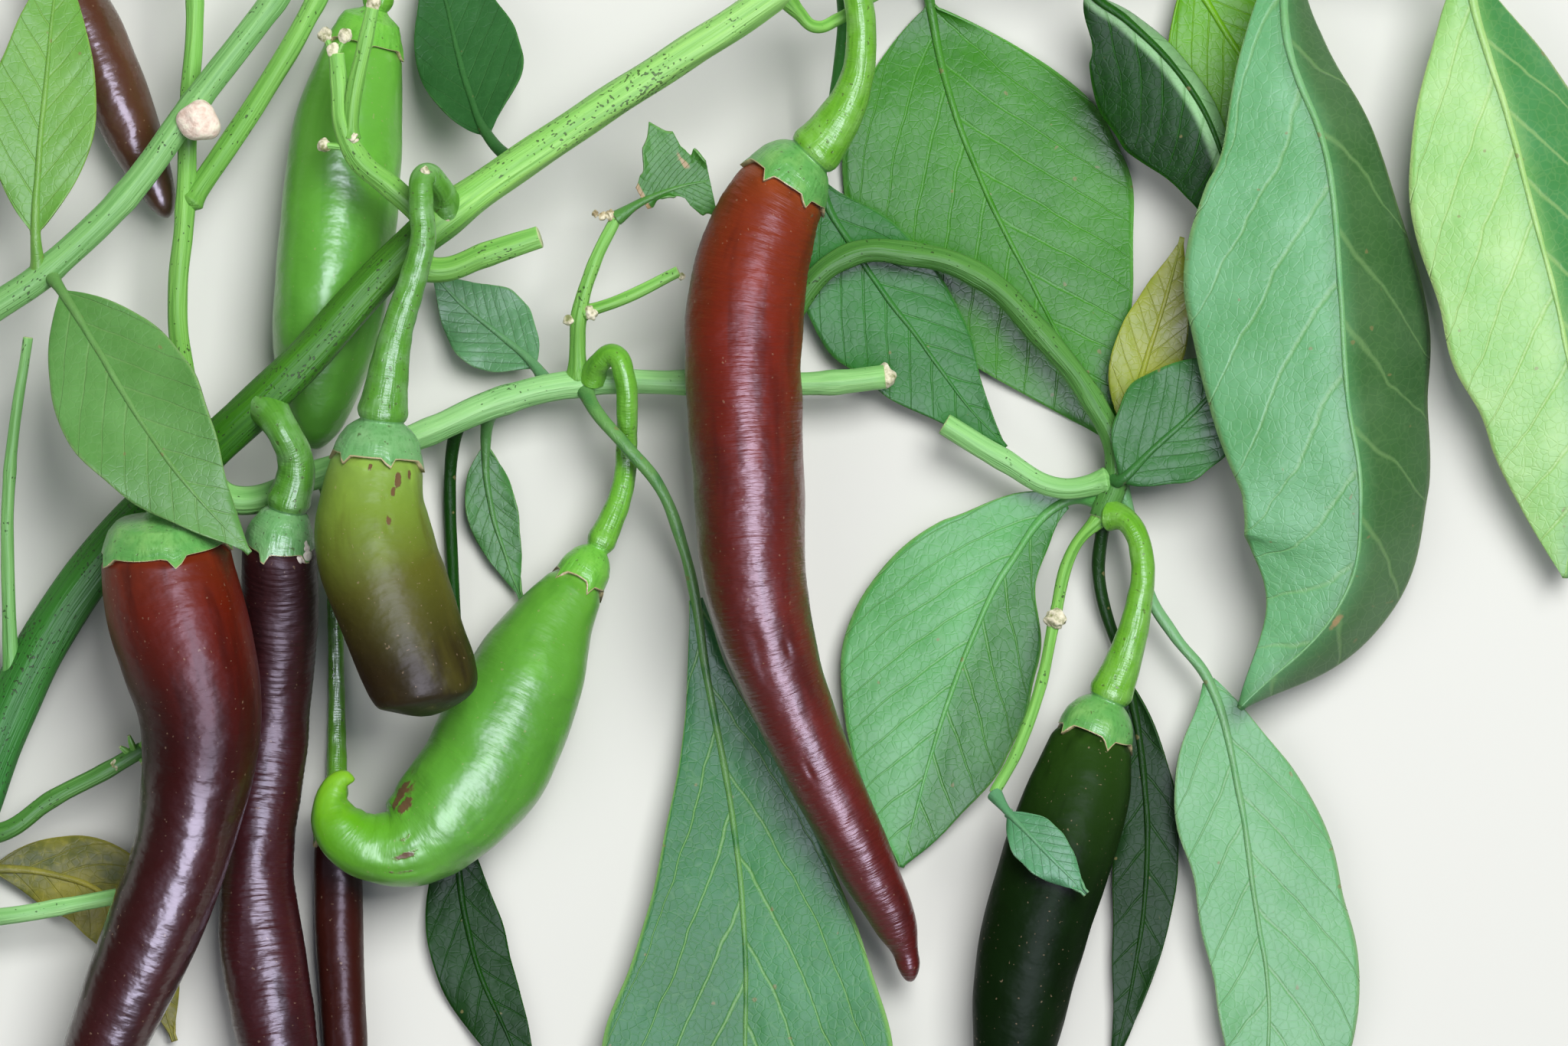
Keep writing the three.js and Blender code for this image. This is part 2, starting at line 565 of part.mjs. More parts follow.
leaf('leaf_small', {
  root: ['twig_shoot', [29.5, -38, 13.5]],
  path: [[31.4, -40.5, 15.5], [35.8, -45.2, 17.2], [42.4, -52, 17.4]],
  bladeFrom: 0,
  halves: [3.6, 3.6],
  tilts: [0, 0],
  rod: [0.7, 0.5],
  steps: 6,
});
leaf('leaf_chewed', {
  root: ['twig_upper', [-23.6, 42.8, 13]],
  path: [[-19.8, 45.2, 13.5], [-15.4, 47, 14], [-10.4, 48.1, 14]],
  bladeFrom: 0,
  halves: [8, 3],
  tilts: [10, -10],
  rod: [0.7, 0.5],
  steps: 6,
});
leaf('leaf_front', {
  root: ['bough_left', [-103.4, 35.4, 15]],
  path: [[-101.2, 32.5, 18], [-95.7, 23.9, 22], [-89.1, 13.4, 26.5], [-82.5, 4.6, 28.4], [-74.3, -4.2, 28.6]],
  bladeFrom: 0,
  halves: [10, 10],
  tilts: [4, 4],
});
leaf('leaf_yellow_low', {
  root: ['stem_main', [-118.2, -49.8, 4.5]],
  path: [[-112.2, -49, 2.2], [-103.4, -49.8, 1.8], [-95.7, -53.1, 1.8], [-90.2, -61.9, 1.6],
    [-86.3, -73.4, 1.4]],
  bladeFrom: 0,
  halves: [7, 6],
  tilts: [0, 0],
  colour: 'leaf_yellow',
});
leaf('leaf_top_left', {
  root: ['bough_left', [-104.5, 34.6, 14.9]],
  path: [[-104.9, 40.4, 17.5], [-104.5, 49.2, 18.5], [-103.4, 61.3, 18.5], [-102.3, 73.4, 17.5],
    [-101.6, 81.1, 16]],
  bladeFrom: 0,
  halves: [7.5, 7.5],
  tilts: [4, 4],
  colour: 'leaf_pale',
});
leaf('leaf_dark', {
  root: ['stem_main', [7.5, 78.4, 22]],
  path: [[8.4, 71.2, 14], [7, 59.1, 8], [5.1, 48.6, 4], [11, 37.1, 3.4], [19.8, 25, 3.4], [25.9, 16.7, 3.2],
    [31.4, 10.7, 3]],
  bladeFrom: 2,
  halves: [8, 11],
  tilts: [0, 0],
  colour: 'leaf_dark',
  clear: ['stalk_long_red'],
});
leaf('leaf_yellow_right', {
  root: ['stem_far', [46.8, 7.4, 6.6]],
  path: [[48.4, 11.8, 4.6], [50.8, 21.7, 4.6], [53.9, 31.6, 4.6], [56.3, 40.4, 4.6]],
  bladeFrom: 0,
  halves: [5, 5],
  tilts: [0, 0],
  colour: 'leaf_yellow',
});
leaf('leaf_back_dark', {
  root: ['stem_main', [-37.4, 50, 21]],
  path: [[-41.8, 54.7, 15], [-44.9, 62.4, 10], [-47.7, 73.4, 6], [-50, 82.7, 4]],
  bladeFrom: 0,
  halves: [6, 9],
  tilts: [0, 0],
  colour: 'leaf_dark',
});
leaf('leaf_back_mid', {
  root: ['stem_second', [-33, 18.9, 7.2]],
  path: [[-35.2, 22.2, 5.4], [-39.6, 26.1, 4.2], [-45.1, 30.5, 3.6], [-49.7, 35.1, 3.2]],
  bladeFrom: 0,
  halves: [6, 6],
  tilts: [0, 0],
});
leaf('leaf_back_narrow', {
  root: ['stem_second', [-41.6, 16.4, 7.3]],
  path: [[-42.2, 11.2, 4], [-41.6, 3, 2.6], [-39.6, -4.2, 1.8], [-37.2, -10.8, 1.5]],
  bladeFrom: 0,
  halves: [3.6, 3.6],
  tilts: [0, 0],
});
leaf('leaf_back_low', {
  root: ['stem_second', [-46, 14.8, 7.6]],
  path: [[-47.2, 7.4, 3], [-46.8, -9.1, 1.3], [-46, -25.6, 1.1], [-46.5, -42.1, 1.1], [-44, -60.8, 1.4],
    [-39, -72.9, 1.5], [-34.1, -83.9, 1.2]],
  bladeFrom: 3,
  halves: [5, 6],
  tilts: [0, 0],
  rod: [0.9, 0.7],
});
leaf('leaf_dark_low', {
  root: ['stem_far', [45.3, 1.9, 6.8]],
  path: [[44.6, -8, 3.2], [48.6, -22, 2.2], [51, -36.6, 2], [51.3, -49.8, 2], [49.5, -64.1, 1.8],
    [46.2, -78.4, 1.4]],
  bladeFrom: 1,
  halves: [4.5, 5],
  tilts: [0, 0],
  colour: 'leaf_dark',
  clear: ['twig_shoot', 'stalk_dark_green'],
});

// The branch is centred over the origin and set down on Z = 0
const box = new THREE.Box3().setFromObject(branch);
const centre = box.getCenter(new THREE.Vector3());
branch.position.set(-centre.x, -centre.y, -box.min.z);

export default branch;
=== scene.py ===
"""A cut, fruiting branch of a chilli pepper plant, laid flat on a pale floor."""

import math

import bpy
import numpy as np
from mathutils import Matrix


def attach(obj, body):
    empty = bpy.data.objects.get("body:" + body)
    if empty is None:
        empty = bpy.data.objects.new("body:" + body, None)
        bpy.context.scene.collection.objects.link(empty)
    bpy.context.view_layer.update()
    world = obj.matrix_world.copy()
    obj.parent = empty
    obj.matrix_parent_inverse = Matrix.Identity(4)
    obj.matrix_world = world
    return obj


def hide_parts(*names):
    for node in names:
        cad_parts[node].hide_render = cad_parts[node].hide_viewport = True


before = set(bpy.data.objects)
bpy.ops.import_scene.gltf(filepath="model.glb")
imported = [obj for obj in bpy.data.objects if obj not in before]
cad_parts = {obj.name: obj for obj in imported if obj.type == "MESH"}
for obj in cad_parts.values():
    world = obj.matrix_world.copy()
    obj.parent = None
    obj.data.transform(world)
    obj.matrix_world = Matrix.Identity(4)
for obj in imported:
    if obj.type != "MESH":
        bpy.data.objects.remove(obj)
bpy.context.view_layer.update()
bpy.ops.object.select_all(action="DESELECT")

# The main stem. A green, half woody shoot, cut square at its foot, thick and blue green below and
# light green above the joint. It is drawn as one line with a round section, then ribbed and
# freckled as the living bark is.
MM = 0.001
# Points are millimetres from the middle of the picture, which lies here in the frame
ZERO = np.array([2.2037, 11.6771, 0.196])
FLOOR_GAP = 0.06
MERGE = 0.002
WORN_RIM = 0.93
WORN_EDGE = 0.12
PITH = (0.50, 0.58, 0.30)


def corners(piece):
    """The places of a piece's vertices."""
    spots = np.empty(len(piece.data.vertices) * 3)
    piece.data.vertices.foreach_get("co", spots)
    return spots.reshape(-1, 3)


def line_of(name, points, sides, rings, begin=(0, 0.0), end=None):
    """A smooth line drawn through points in millimetres, with a round section of 1 mm."""
    bpy.ops.curve.primitive_bezier_circle_add(radius=MM)
    section = bpy.context.object
    section.data.resolution_u = sides // 4
    bpy.ops.curve.primitive_bezier_curve_add()
    drawn = bpy.context.object
    bpy.ops.object.mode_set(mode="EDIT")
    bpy.ops.curve.select_all(action="SELECT")
    bpy.ops.curve.delete(type="VERT")
    for point in points:
        bpy.ops.curve.vertex_add(location=tuple((np.array(point) + ZERO) * MM))
    bpy.ops.curve.select_all(action="SELECT")
    bpy.ops.curve.handle_type_set(type="AUTOMATIC")
    bpy.ops.object.mode_set(mode="OBJECT")
    spans = len(points) - 1
    steps = max(3, math.ceil(rings / spans))
    drawn.data.dimensions = "3D"
    drawn.data.bevel_mode = "OBJECT"
    drawn.data.bevel_object = section
    drawn.data.resolution_u = steps
    bpy.ops.object.convert(target="MESH")
    piece = bpy.context.object
    bpy.data.objects.remove(section)
    piece.name = name
    piece.data.name = name
    ring = corners(piece).reshape(-1, sides, 3) / MM
    axis = ring.mean(axis=1)
    ray = ring - axis[:, None]
    walked = np.concatenate([[0], np.cumsum(np.linalg.norm(np.diff(axis, axis=0), axis=1))])
    end = end or (spans, 0.0)
    first = walked[begin[0] * steps] + begin[1]
    last = walked[end[0] * steps] + end[1]
    spot = np.interp(np.linspace(first, last, len(axis)), walked, np.arange(len(axis)))
    low = np.minimum(spot.astype(int), len(axis) - 2)
    part = (spot - low)[:, None]
    axis = axis[low] * (1 - part) + axis[low + 1] * part
    ray = ray[low] * (1 - part[..., None]) + ray[low + 1] * part[..., None]
    ray /= np.linalg.norm(ray, axis=2, keepdims=True)
    way = np.gradient(axis, axis=0)
    way /= np.linalg.norm(way, axis=1, keepdims=True)
    up = np.array([0, 0, 1]) - way * way[:, 2:]
    up /= np.maximum(np.linalg.norm(up, axis=1, keepdims=True), 1e-6)
    side = np.cross(way, up)
    angle = np.arctan2((ray * side[:, None]).sum(axis=2), (ray * up[:, None]).sum(axis=2))
    at = np.linspace(0, last - first, len(axis))[:, None]
    return {"piece": piece, "axis": axis, "ray": ray, "way": way, "side": side, "angle": angle,
            "at": at, "total": last - first, "knots": walked[::steps] - first}


def walked_to(line, point):
    """How far along a line the place nearest to a point lies."""
    return float(line["at"][np.argmin(np.linalg.norm(line["axis"] - ZERO - point, axis=1)), 0])


def smooth(values, share):
    """A soft curve through values that are spread evenly from 0 to 1."""
    values = np.asarray(values, float)
    spot = np.clip(share, 0, 1) * (len(values) - 1)
    low = np.minimum(spot.astype(int), len(values) - 2)
    t = spot - low
    more = np.concatenate([[2 * values[0] - values[1]], values, [2 * values[-1] - values[-2]]])
    a, b, c, d = more[low], more[low + 1], more[low + 2], more[low + 3]
    return (b + 0.5 * (c - a) * t + (a - 2.5 * b + 2 * c - 0.5 * d) * t ** 2
            + (1.5 * b - 0.5 * a - 1.5 * c + 0.5 * d) * t ** 3)


def ripples(at, angle, seed, count, along, around):
    """Soft random relief of about 1 high, made of waves that close round the piece."""
    pick = np.random.default_rng(seed)
    total = 0.0
    for _ in range(count):
        rate = pick.uniform(0.3, 1) * along * 2 * math.pi
        turns = pick.integers(0, around + 1) * pick.choice([-1, 1])
        total = total + np.cos(rate * at + turns * angle + pick.uniform(0, 2 * math.pi))
    return total / math.sqrt(count)


def knuckle(at, place, width, height):
    """A soft swelling round one place."""
    return height * np.exp(-(((at - place) / width) ** 2))


def rooted(radius, at, carrier):
    """Swells a stem's foot, but keeps it inside the stem that carries it."""
    return np.minimum(radius * (1 + knuckle(at, 0, 1.3 * carrier, 0.55)), 0.6 * carrier + 0.9 * at)


def note(mesh, name, values):
    """Keeps a value or a vector at each vertex, for the skins to read."""
    kind, key = ("FLOAT_VECTOR", "vector") if values.ndim == 3 else ("FLOAT", "value")
    mesh.attributes.new(name, kind, "POINT").data.foreach_set(key, np.asarray(values, np.float32).ravel())


def round_piece(line, radius, slide=0.0, mark=0.0):
    """Gives a drawn line its thickness in millimetres and closes its ends."""
    angle = line["angle"]
    radius, slide, mark, at = (
        np.array(np.broadcast_to(each, angle.shape), float) for each in (radius, slide, mark, line["at"]))
    radius[[0, -1]] = 0
    spots = line["axis"][:, None] + line["ray"] * radius[..., None] + line["way"][:, None] * slide[..., None]
    spots[..., 2] = np.maximum(spots[..., 2], FLOOR_GAP)
    mesh = line["piece"].data
    mesh.vertices.foreach_set("co", (spots * MM).ravel())
    note(mesh, "along", at / line["total"])
    note(mesh, "mark", mark)
    note(mesh, "grain", np.stack([at, radius * np.cos(angle), radius * np.sin(angle)], axis=2))
    bpy.context.view_layer.objects.active = line["piece"]
    bpy.ops.object.mode_set(mode="EDIT")
    bpy.ops.mesh.select_all(action="SELECT")
    bpy.ops.mesh.remove_doubles(threshold=MERGE * MM)
    bpy.ops.mesh.normals_make_consistent(inside=False)
    bpy.ops.object.mode_set(mode="OBJECT")
    bpy.ops.object.shade_smooth()
    return line["piece"]


def cut_ends(line, radius, foot=False):
    """Flattens a stem's far end, and its foot too, into a square cut with a small worn edge."""
    shape = line["angle"].shape
    radius = np.array(np.broadcast_to(radius, shape), float)
    slide = np.zeros(shape)
    mark = np.zeros(shape)
    gap = float(line["at"][1, 0])
    ends = [((-1, -2, -3), 1), ((0, 1, 2), -1)]
    for (middle, rim, edge), sign in ends if foot else ends[:1]:
        mark[[middle, rim]] = 1
        slide[rim] = sign * gap
        radius[rim] *= WORN_RIM
        slide[edge] = sign * (2 * gap - WORN_EDGE)
    return radius, slide, mark


def settle(piece, skins, slot, *nodes):
    """Puts the skins on a piece, hangs it on the root body and hides the solids it stands for."""
    piece.data.materials.clear()
    for skin in skins:
        piece.data.materials.append(skin)
    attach(piece, "root")
    if nodes:
        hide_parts(*nodes)
    piece.select_set(False)


def plug(node, sockets):
    """Each socket of a node takes a value or another node's output."""
    for key, value in sockets.items():
        socket = node.inputs[int(key[1:]) if key[1:].isdigit() else key.replace("_", " ")]
        if isinstance(value, bpy.types.NodeSocket):
            node.id_data.links.new(value, socket)
        else:
            socket.default_value = value


def feed(**sockets):
    """Fills sockets of the open skin's surface shader."""
    plug(tree.nodes["Principled BSDF"], sockets)


def shader(name, **sockets):
    """Opens a new skin: the steps that follow add their nodes to it."""
    global tree
    skin = bpy.data.materials.new(name)
    skin.use_nodes = True
    tree = skin.node_tree
    feed(**sockets)
    return skin


def step(kind, out=0, settings=None, **sockets):
    """Adds one node and hands on its output."""
    made = tree.nodes.new("ShaderNode" + kind)
    for key, value in (settings or {}).items():
        setattr(made, key, value)
    plug(made, sockets)
    return made.outputs[out]


def maths(operation, first, second):
    return step("Math", settings={"operation": operation}, i0=first, i1=second)


def times(first, second):
    return maths("MULTIPLY", first, second)


def plus(first, second):
    return maths("ADD", first, second)


def minus(first, second):
    return maths("SUBTRACT", first, second)


def blended(factor, first, second, how="MIX"):
    """Mixes two colours."""
    return step("Mix", 2, {"data_type": "RGBA", "blend_type": how}, i0=factor, i6=first, i7=second)


def tinted(colour, tint, share, strength=1.0, how="MIX"):
    """Lays a tint over a colour where the share is high."""
    return blended(times(share, strength), colour, (*tint, 1), how)


def graded(factor, stops):
    """A colour ramp with stops of (place, red, green, blue)."""
    ramp = step("ValToRGB", i0=factor)
    bars = ramp.node.color_ramp.elements
    for i, (place, *colour) in enumerate(stops):
        bar = bars[i] if i < 2 else bars.new(place)
        bar.position = place
        bar.color = (*colour, 1)
    return ramp


def noted(name, out=2):
    return step("Attribute", out, {"attribute_name": name})


def clouds(vector, scale, detail=2.0, rough=0.5):
    return step("TexNoise", Vector=vector, Scale=scale, Detail=detail, Roughness=rough)


def fibres(grain, along, across, detail, rough=0.5):
    """Clouds with a scale of their own along a piece and round it."""
    drawn = step("VectorMath", settings={"operation": "MULTIPLY"}, i0=grain, i1=(along, across, across))
    return clouds(drawn, 1.0, detail, rough)


def between(value, low, high):
    """0 below low, 1 above high, and soft between them."""
    return step("MapRange", settings={"interpolation_type": "SMOOTHSTEP"}, i0=value, i1=low, i2=high)


def raised(height, depth):
    """Relief of a depth in millimetres."""
    normal = step("Bump", Strength=1.0, Distance=depth * MM, Height=height)
    feed(Normal=normal, Coat_Normal=normal)


def bark(name, stops, freckles=0.62):
    """Green bark: pale and dark lines run along it, and small dark freckles lie over them."""
    skin = shader(name, Roughness=0.48, Specular_IOR_Level=0.22)
    grain = noted("grain", 1)
    lines = fibres(grain, 0.035, 1.5, 3.0)
    fine = fibres(grain, 0.12, 4.2, 2.0)
    patches = times(minus(clouds(grain, 0.11), 0.5), 0.6)
    spots = plus(fibres(grain, 2.0, 2.8, 0.0), patches)
    dots = between(spots, freckles + 0.12, freckles + 0.17)
    colour = graded(noted("along"), stops)
    colour = tinted(colour, (1.75, 1.45, 1.7), between(lines, 0.45, 0.70), 0.35, "MULTIPLY")
    colour = tinted(colour, (0.45, 0.62, 0.4), between(lines, 0.52, 0.30), 0.45, "MULTIPLY")
    colour = tinted(colour, (0.62, 0.78, 0.5), fine, 0.35, "MULTIPLY")
    colour = tinted(colour, (0.026, 0.036, 0.016), dots, 0.75)
    feed(Base_Color=tinted(colour, PITH, noted("mark")))
    relief = plus(lines, times(fine, 0.5))
    raised(minus(relief, times(dots, 0.4)), 0.22)
    return skin


MAIN = [(-122.3, -63.6, 4.2), (-107.8, -23.4, 5.4), (-96.8, -5.8, 7.6), (-82.5, 8.5, 13),
        (-68.2, 21.7, 19.6), (-52.8, 38.2, 21), (-46.2, 43.7, 21), (-33, 53, 21), (-11, 67.3, 22),
        (9.9, 80, 22), (33, 85.7, 20), (55, 87.7, 18), (77, 86.3, 16), (99, 81.6, 14)]
line = line_of("main_stem", MAIN, 40, 560)
at, angle = line["at"], line["angle"]
radius = smooth([4.2, 3.9, 3.5, 3.2, 2.9, 2.6, 2.4, 2.3, 2.1, 1.9, 1.6, 1.3], at / line["total"])
joint = walked_to(line, (-47.5, 42.8, 21))
fork = walked_to(line, (9.9, 80, 22))
radius = radius + knuckle(at, joint, 4.0, 0.35) + knuckle(at, fork, 3.5, 0.4)
radius = radius * (1 + 0.035 * np.cos(5 * angle + 0.02 * at))
radius = radius + 0.05 * ripples(at, angle, 3, 12, 0.08, 3)
joint_share = joint / line["total"]
MAIN_TONES = [(0.0, 0.026, 0.170, 0.040), (0.16, 0.036, 0.175, 0.028), (0.30, 0.032, 0.160, 0.004),
              (joint_share - 0.02, 0.060, 0.200, 0.018), (joint_share + 0.015, 0.250, 0.560, 0.120),
              (0.66, 0.29, 0.57, 0.17), (1.0, 0.20, 0.46, 0.10)]
settle(round_piece(line, *cut_ends(line, radius, foot=True)), [bark("bark_main", MAIN_TONES, 0.60)],
       "stem", "stem_main", "stem_right")

# The side stems and twigs. Each grows out of the stem that carries it with a swollen collar, and
# ends in a clean cut or a dry knob where a leaf or a flower has dropped off.
BARKS = {
    "light": (0.64, [(0.0, 0.14, 0.36, 0.06), (0.5, 0.19, 0.45, 0.09), (1.0, 0.22, 0.50, 0.12)]),
    "pale": (0.68, [(0.0, 0.20, 0.46, 0.14), (0.5, 0.27, 0.55, 0.22), (1.0, 0.24, 0.52, 0.18)]),
    "mid": (0.65, [(0.0, 0.065, 0.20, 0.035), (1.0, 0.08, 0.23, 0.05)]),
    "grey": (0.66, [(0.0, 0.13, 0.36, 0.10), (0.5, 0.19, 0.42, 0.14), (1.0, 0.20, 0.44, 0.15)]),
}
green_bark = {tone: bark("bark_" + tone, stops, freckles) for tone, (freckles, stops) in BARKS.items()}
SIDE_STEMS = {
    "stem_second": ("pale", [2.1, 1.9, 1.9, 2.0, 1.7, 1.6, 1.7], 3.2, [
        (-83.6, 7.4, 12.5), (-77, 3.2, 11), (-66, 6.8, 9), (-50, 12.9, 7.8), (-39.6, 17.3, 7.2),
        (-28.6, 19.7, 7.2), (-14.3, 19.8, 7.2), (6.6, 19.8, 7.2), (14.3, 20.6, 7.4)]),
    "stem_far": ("mid", [1.6, 1.6, 1.7, 1.7, 1.6, 1.9], 1.6, [
        (-1.6, 19.8, 7.2), (1.1, 29.4, 6.4), (8.8, 37.6, 6.3), (17.6, 38, 6.3), (27.5, 34.9, 6.4),
        (36.1, 26.8, 6.4), (43.5, 17.3, 6.5), (47.1, 8.5, 6.6), (44.9, 0.6, 6.8)]),
    "stub_far": ("pale", [1.5, 1.5, 1.6], 1.6, [
        (46.6, 6, 6.6), (38.5, 5, 7), (30.8, 9, 7), (22.6, 14, 7.2)]),
    "stub_joint": ("light", [1.7, 1.7, 1.6], 2.5, [
        (-53.7, 37.1, 21), (-48.4, 35.4, 20), (-41.8, 37.5, 20.6), (-34.1, 40, 21.5)]),
    "twig_joint": ("light", [1.7, 1.6, 1.5, 1.2, 1.1], 2.5, [
        (-48.4, 42, 21), (-51.7, 44.2, 22), (-55, 47, 23), (-59.4, 50.8, 23.6), (-61.6, 55.8, 24),
        (-62.1, 61.3, 24), (-62.5, 65.5, 24)]),
    "twig_joint_side": ("light", [1.1, 1.1, 0.9], 1.2, [
        (-60.6, 53, 23.8), (-60, 59.6, 25), (-58.3, 67.3, 26), (-57.3, 71.8, 26.5)]),
    "twig_upper": ("light", [1.3, 1.1, 0.9, 0.8], 1.7, [
        (-29, 19.7, 7.2), (-29.1, 25, 9), (-28.8, 29.4, 11), (-26.9, 36, 12.5), (-23.6, 42.8, 13)]),
    "twig_upper_side": ("light", [0.9, 0.8], 1.0, [(-28.8, 29.4, 11), (-22, 31.8, 11.5), (-14.8, 35.4, 12)]),
    "twig_low_a": ("mid", [1.3, 1.2, 1.1], 4.0, [
        (-116.6, -43.8, 4.6), (-110, -43.5, 7.4), (-103.4, -39, 7.6), (-95.7, -35, 7.8), (-90.4, -31.9, 8)]),
    "twig_low_b": ("pale", [1.3, 1.2, 1.1], 4.0, [
        (-120.1, -56.2, 4.3), (-110, -55.5, 7), (-102.3, -54.2, 7.6), (-94, -52.6, 8)]),
    "bough_left": ("grey", [2.2, 2.1, 2, 2, 1.9, 1.8], 4.0, [
        (-112.2, -32.8, 5), (-120.5, -16.8, 7), (-123.2, 7.4, 10), (-116.6, 25, 13), (-103.4, 35.4, 15),
        (-92.4, 45.9, 15.5), (-82.5, 59.1, 16), (-71.5, 73.4, 16), (-66, 81.6, 16)]),
    "shoot_left": ("light", [1.4, 1.4, 1.3, 1.2], 3.2, [
        (-81.2, 9.6, 13.5), (-85.3, 27.2, 10), (-84.3, 44.2, 11), (-83.6, 60.2, 11), (-82.9, 73.4, 11),
        (-83.6, 81.6, 11)]),
    "shoot_left_side": ("light", [1.6, 1.5, 1.4], 1.3, [
        (-84.3, 44.2, 11), (-73.7, 60.2, 9.5), (-66, 73.4, 9), (-61.6, 82.7, 10)]),
    "twig_left_thin": ("grey", [1.1, 0.9, 0.7], 4.0, [
        (-108.9, -25.6, 5.3), (-109.3, -10.2, 9), (-108.9, 7.4, 12), (-106.2, 26.1, 13.5)]),
    "stalk_curled": ("light", [0.9, 0.8, 0.7], 2.2, [
        (0, 73.6, 22), (2, 71.4, 21), (4.4, 69.4, 20), (7.5, 70.5, 19), (11.6, 73.2, 19),
        (14.8, 74.7, 19.5)]),
    "twig_shoot": ("light", [0.9, 0.8, 0.8], 1.8, [
        (45.1, 1.3, 6.8), (40.9, -3.6, 8), (38.1, -13.5, 9), (36.3, -22.3, 10.5), (32.7, -32.2, 12.5),
        (29.5, -38, 13.5)]),
}
for seed, (name, (tone, girth, carrier, points)) in enumerate(SIDE_STEMS.items()):
    line = line_of(name + "_bark", points, 24, 150)
    at, angle = line["at"], line["angle"]
    radius = rooted(smooth(girth, at / line["total"]), at, carrier)
    for point in points[2:-1]:
        radius = radius + knuckle(at, walked_to(line, point), 1.6, 0.07 * girth[0])
    radius = radius * (1 + 0.04 * np.cos(5 * angle))
    radius = radius + 0.04 * ripples(at, angle, 40 + seed, 10, 0.12, 3)
    settle(round_piece(line, *cut_ends(line, radius)), [green_bark[tone]], "stem", name)
TWIGLETS = [
    [(-61.2, 52.4, 23.8), (-62.8, 52.6, 24), (-64, 52.7, 24)],
    [(-62.5, 64.9, 24), (-63.4, 66.6, 24.2), (-64, 68, 24.2)],
    [(-62.5, 64.9, 24), (-61.8, 66.6, 24.4), (-61.2, 67.8, 24.6)],
    [(-57.6, 70.6, 26.3), (-57.3, 71.4, 26.5), (-57.2, 72.1, 26.6)],
    [(-92.2, -32.9, 7.9), (-93.4, -33.6, 8.2), (-94.1, -34.1, 8.4)],
    [(-91.4, -32.5, 8), (-90.7, -33.2, 8.1), (-90.2, -33.7, 8.2)],
    [(-92, -32.8, 7.9), (-92.8, -32.1, 8.5), (-93.6, -31.5, 9)],
    [(-91, -32.2, 8), (-90.4, -31.2, 8.7), (-90, -30.2, 9.2)],
    [(-91.4, -32.5, 8), (-91.9, -31.2, 8.9), (-92.3, -29.9, 9.4)],
]
for i, points in enumerate(TWIGLETS):
    line = line_of("twiglet_" + str(i), points, 16, 24)
    radius = smooth([0.55, 0.5, 0.42, 0.2] if i > 5 else [0.5, 0.45, 0.45, 0.5], line["at"] / line["total"])
    settle(round_piece(line, *cut_ends(line, radius)), [green_bark["light"]], "stem")

# The dry knobs and scars. Pale corky knobs close the twigs where leaves and flowers dropped, and
# one withered flower still sticks to the left bough. They are small balls, puckered by pushing
# their faces in and out.
KNOBS = [(-49.9, 49.0, 29.2, 0.6), (-62.9, 66, 24.4, 1.0), (-64, 68.2, 24.2, 1.0), (-61.2, 68, 24.6, 1.0),
         (-57.2, 72.3, 26.6, 1.0), (-64.2, 52.7, 24.0, 0.9), (-60.2, 53.7, 24.9, 0.85),
         (-47.0, 42.6, 23.0, 0.95), (-94.3, -34.2, 8.5, 0.75), (-90.1, -33.8, 8.3, 0.6),
         (-27.2, 29.6, 11.8, 1.0), (-30.3, 28.5, 11.2, 0.75), (-14.4, 34.7, 12.0, 0.55),
         (14.2, 20.7, 7.4, 1.6), (38.3, -13.5, 9.8, 1.4)]


def corky(name, tone, deep):
    """Dry cork: beige, darker in its folds as painted shade."""
    skin = shader(name, Roughness=0.8, Specular_IOR_Level=0.2)
    folds = clouds(step("TexCoord", 3), 900.0, 4.0, 0.6)
    feed(Base_Color=graded(folds, [(0.35, *deep), (0.52, *tone), (0.75, 0.85, 0.82, 0.68)]))
    raised(folds, 0.3)
    return skin


def puckered(name, places, depth, rate, flat=0.8):
    """Small uneven balls, joined into one piece."""
    made = []
    for i, (*middle, size) in enumerate(places):
        bpy.ops.mesh.primitive_ico_sphere_add(subdivisions=4, radius=size * MM, location=(0, 0, 0))
        ball = bpy.context.object
        spots = corners(ball) / (size * MM)
        pick = np.random.default_rng(70 + i)
        swell = sum(np.cos(spots @ (pick.normal(size=3) * rate) + pick.uniform(0, 6.28)) for _ in range(7))
        spots = spots * (1 + depth * swell[:, None] / 2.6) * size * np.array([1, 1, flat])
        ball.data.vertices.foreach_set("co", ((spots + middle + ZERO) * MM).ravel())
        made.append(ball)
    for ball in made:
        ball.select_set(True)
    bpy.context.view_layer.objects.active = made[0]
    if len(made) > 1:
        bpy.ops.object.join()
    bpy.ops.object.shade_smooth()
    made[0].name = name
    made[0].data.name = name
    return made[0]


settle(puckered("twig_knobs", KNOBS, 0.14, 3.5),
       [corky("cork", (0.62, 0.59, 0.44), (0.20, 0.22, 0.09))], "stem")
TIP_CURL = [(-24.4, 43.2, 13.2, 0.75), (-25.5, 43.1, 13.3, 0.6), (-26.5, 43.5, 13.5, 0.45)]
settle(puckered("leaf_tip_curl", TIP_CURL, 0.2, 4.5, 1.0),
       [corky("dry_tip", (0.50, 0.44, 0.28), (0.20, 0.15, 0.07))], "stem")
settle(puckered("withered_flower", [(-82, 56.3, 17.6, 2.9)], 0.07, 3.4, 1.0),
       [corky("withered_petals", (0.80, 0.66, 0.58), (0.66, 0.50, 0.42))], "stem")
TORN_RIM = [(-67.5, -3.2, 17.8, 1.0), (-67.3, -4.6, 17.6, 1.1), (-68.1, -5.2, 18.0, 0.7)]
